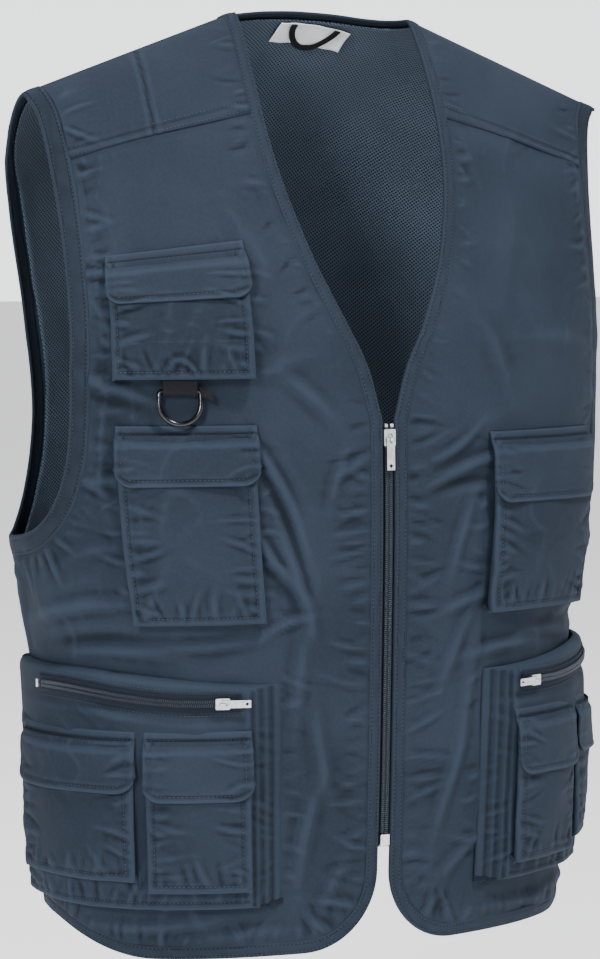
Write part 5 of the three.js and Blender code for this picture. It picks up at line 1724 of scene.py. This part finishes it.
@dataclass
class RingTab:
    """The D-ring on its folded webbing tab."""

    turn: float = -37.0
    level: float = -234.6
    lift: float = 4.6
    lean: float = 9.0
    wire: float = 1.95
    half: float = 15.0
    drop: float = 24.0

    def axes(self) -> tuple[Array, Array, Array, Array]:
        """Origin, along, up and out at the ring's bar."""
        turn, level = np.array([self.turn]), np.array([self.level])
        out = FORM.outward(turn, level)[0]
        along = np.cross([0, 0, 1], out)
        along /= np.linalg.norm(along)
        return FORM.place(turn, level, np.array([self.lift]))[0], along, np.cross(out, along), out

    def ring(self) -> None:
        """Makes the ring as a round wire bent to a D."""
        origin, along, up, out = self.axes()
        lean = math.radians(self.lean)
        down = -up * math.cos(lean) + out * math.sin(lean)
        half, straight = self.half, self.drop - self.half
        plane = [(half - 2.5 + 2.5 * math.sin(a), 2.5 - 2.5 * math.cos(a)) for a in np.linspace(0, 1.57, 5)]
        plane += [(half * math.cos(a), straight + half * math.sin(a)) for a in np.linspace(0, math.pi, 26)]
        plane += [(-half + 2.5 - 2.5 * math.cos(a), 2.5 - 2.5 * math.sin(a)) for a in np.linspace(0, 1.57, 5)]
        curve = bpy.data.curves.new("ring_wire", "CURVE")
        curve.dimensions = "3D"
        curve.bevel_depth = self.wire * MM
        curve.bevel_resolution = 5
        line = curve.splines.new("POLY")
        line.points.add(len(plane) - 1)
        for point, (x, y) in zip(line.points, plane):
            point.co = (*(origin + (along * x + down * y) * MM), 1)
        line.use_cyclic_u = True
        line.use_smooth = True
        piece = bpy.data.objects.new("ring_wire", curve)
        bpy.context.scene.collection.objects.link(piece)
        piece.data.materials.append(material_of(Finish.DARK_METAL))
        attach(piece, "d_ring")
        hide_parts("d_ring")
        LOG.info("ring_wire: %d points", len(plane))

    def tab(self) -> None:
        """Makes the folded webbing and its loose end."""
        origin, along, up, out = self.axes()
        radius = self.wire + 1.75
        rows = [(9.0, radius - 0.4), (4, radius + 0.1)]
        rows += [(-radius * math.sin(a), radius * math.cos(a)) for a in np.linspace(0, math.pi, 13)]
        rows += [(4, -radius + 0.2), (9.0, -radius + 0.6)]
        rows = spline(rows, 60)
        wide = np.linspace(-12.5, 12.5, 17)
        edge = 0.25 * swell(12.5 - np.abs(wide), 0.8)
        wave = 0.25 * np.sin(wide * 0.5)
        points = np.array([
            [origin + (along * x + up * (high + w) + out * (deep - e * np.sign(deep))) * MM
             for x, w, e in zip(wide, wave, edge)] for high, deep in rows])
        cloth("ring_tab_webbing", points, Finish.WEBBING, 1.2, out * 1.0 - up * 0.2, ["d_ring_tab"])
        tail = []
        for t in np.linspace(0, 1, 14):
            ahead, fall, bow = 9 + 15 * t, 1.5 - 3.5 * t - 3 * t * t, -1.2 + 4.2 * math.sin(t * 2.2)
            centre = origin + (along * ahead + up * fall + out * bow) * MM
            tail.append([centre + up * y * MM for y in np.linspace(-3.4, 3.4, 5)])
        cloth("ring_tab_end", np.array(tail), Finish.WEBBING, 1.1, out)

    def build(self) -> None:
        """Makes the ring and its tab."""
        self.ring()
        self.tab()


@dataclass
class NeckLabel:
    """The bare label and the hanging loop inside the back of the neck."""

    offset: float = 20.0
    wide: float = 62.0
    high: float = 27.0
    top: float = 11.0

    def spots(self, x: Array, level: Array) -> Array:
        """Turns of spots inside the back, given their distance from the centre."""
        return 180 - np.sign(x) * (180 - FORM.turn_at(np.abs(x), level, True))

    def build(self) -> None:
        """Makes the label and the loop."""
        s, t = np.linspace(0, 1, 44)[None, :], np.linspace(0, 1, 22)[:, None]
        x = self.offset + (s - 0.5) * self.wide + 0 * t
        level = self.top - (1 - t) * self.high + 0 * s
        crimp = 0.5 * np.sin(x * 0.33 + level * 0.06) + 0.35 * np.sin(level * 0.24 + x * 0.05)
        laid("label_cloth", self.spots(x, level), level, -6.6 + crimp * (1 - t * 0.6), Finish.LABEL, 0.5,
             ["neck_label"])
        share = np.linspace(0, 1, 60)
        x = self.offset + (share - 0.5) * 34
        level = self.top - 27 * np.sin(math.pi * share) ** 0.55
        line = np.stack([self.spots(x, level), level], 1)
        inner = FORM.beside(line, 5)
        s = np.linspace(0, 1, 6)[:, None]
        turn = blend(line[None, :, 0], inner[None, :, 0], s)
        level = blend(line[None, :, 1], inner[None, :, 1], s)
        laid("hang_loop_strap", turn, level, -7.9 + 0 * turn, Finish.WEBBING, 0.9, ["hang_loop"])


@dataclass
class Studio:
    """Camera, lights and floor."""

    eye: tuple[float, float, float] = (-1.0946, -2.0229, -0.136)
    gaze: tuple[float, float, float] = (0.468, 0.8805, -0.075)
    lens: float = 180.6
    floor: float = -0.86

    def camera(self) -> None:
        """Makes the camera at the photograph's angle."""
        data = bpy.data.cameras.new("camera")
        data.lens, data.sensor_width, data.sensor_fit = self.lens, 36, "HORIZONTAL"
        view = bpy.data.objects.new("camera", data)
        bpy.context.scene.collection.objects.link(view)
        view.location = self.eye
        view.rotation_euler = Vector(self.gaze).to_track_quat("-Z", "Y").to_euler()
        bpy.context.scene.camera = view

    def light(self, name: str, at: tuple[float, float, float], size: float, power: float) -> None:
        """Makes a soft square light aimed at the vest."""
        data = bpy.data.lights.new(name, "AREA")
        data.size, data.energy = size, power
        lamp = bpy.data.objects.new(name, data)
        bpy.context.scene.collection.objects.link(lamp)
        lamp.location = at
        lamp.rotation_euler = (Vector((0, 0, -0.3)) - Vector(at)).to_track_quat("-Z", "Y").to_euler()

    def build(self) -> None:
        """Makes the floor, the surrounding light and the lamps."""
        work = bmesh.new()
        bmesh.ops.create_grid(work, x_segments=1, y_segments=1, size=40)
        bmesh.ops.translate(work, verts=work.verts[:], vec=(0, 0, self.floor))
        mesh = bpy.data.meshes.new("floor")
        work.to_mesh(mesh)
        work.free()
        floor = bpy.data.objects.new("floor", mesh)
        bpy.context.scene.collection.objects.link(floor)
        graph = Graph("pale_floor")
        tone = graph.noise(3, 2, 0.5)
        colour = graph.mix(tone, (0.84, 0.845, 0.85), (0.88, 0.885, 0.89))
        floor.data.materials.append(graph.finish(
            Base_Color=colour, Roughness=0.7, Emission_Color=(1.0, 1.0, 1.0), Emission_Strength=0.8))
        world = bpy.data.worlds.new("studio")
        world.use_nodes = True
        ground = world.node_tree.nodes["Background"]
        ground.inputs[0].default_value = (0.94, 0.96, 0.98, 1)
        sky = Graph.of(world.node_tree)
        way = sky.add("ShaderNodeTexCoord", {}, {}, "Generated")
        height = sky.add("ShaderNodeSeparateXYZ", {}, {0: way}, 2)
        glow = 2.4 - height.size().ramp(0.07, 0.18) * 2.15
        world.node_tree.links.new(glow.socket, ground.inputs[1])
        bpy.context.scene.world = world
        self.light("key", (0.5, -1.9, 3.0), 0.45, 185)
        self.light("side", (-2.3, -1.9, 0.9), 0.6, 85)
        self.light("top", (-0.2, 0.6, 2.4), 1.0, 40)


@dataclass
class Vest:
    """The whole vest."""

    shell: Shell = field(default_factory=Shell)

    def build(self) -> None:
        """Makes every piece."""
        self.shell.build()
        FrontZip().build()
        sides = {"chest_upper": Side.RIGHT, "chest_lower": Side.RIGHT, "chest_left": Side.LEFT}
        for name, side in sides.items():
            sewn = Stitching(f"stitches_{name}")
            seed = 100 + 10 * len(name)
            pocket = PatchPocket(name, name, side, POCKETS[name], seed)
            if name == "chest_upper":
                pocket.relief.add(-37, -212, 0, 13, 2.8, 1.5, 13)
            pocket.build(sewn)
            sewn.finish()
        for side in Side:
            HipPocket(side).build()
        RingTab().build()
        NeckLabel().build()


def main() -> None:
    """Builds the scene and notes its size."""
    logging.basicConfig(level=logging.INFO, format="%(name)s %(message)s")
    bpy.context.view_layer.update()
    studio = Studio()
    studio.camera()
    studio.build()
    Vest().build()
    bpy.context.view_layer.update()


if __name__ == "__main__":
    main()
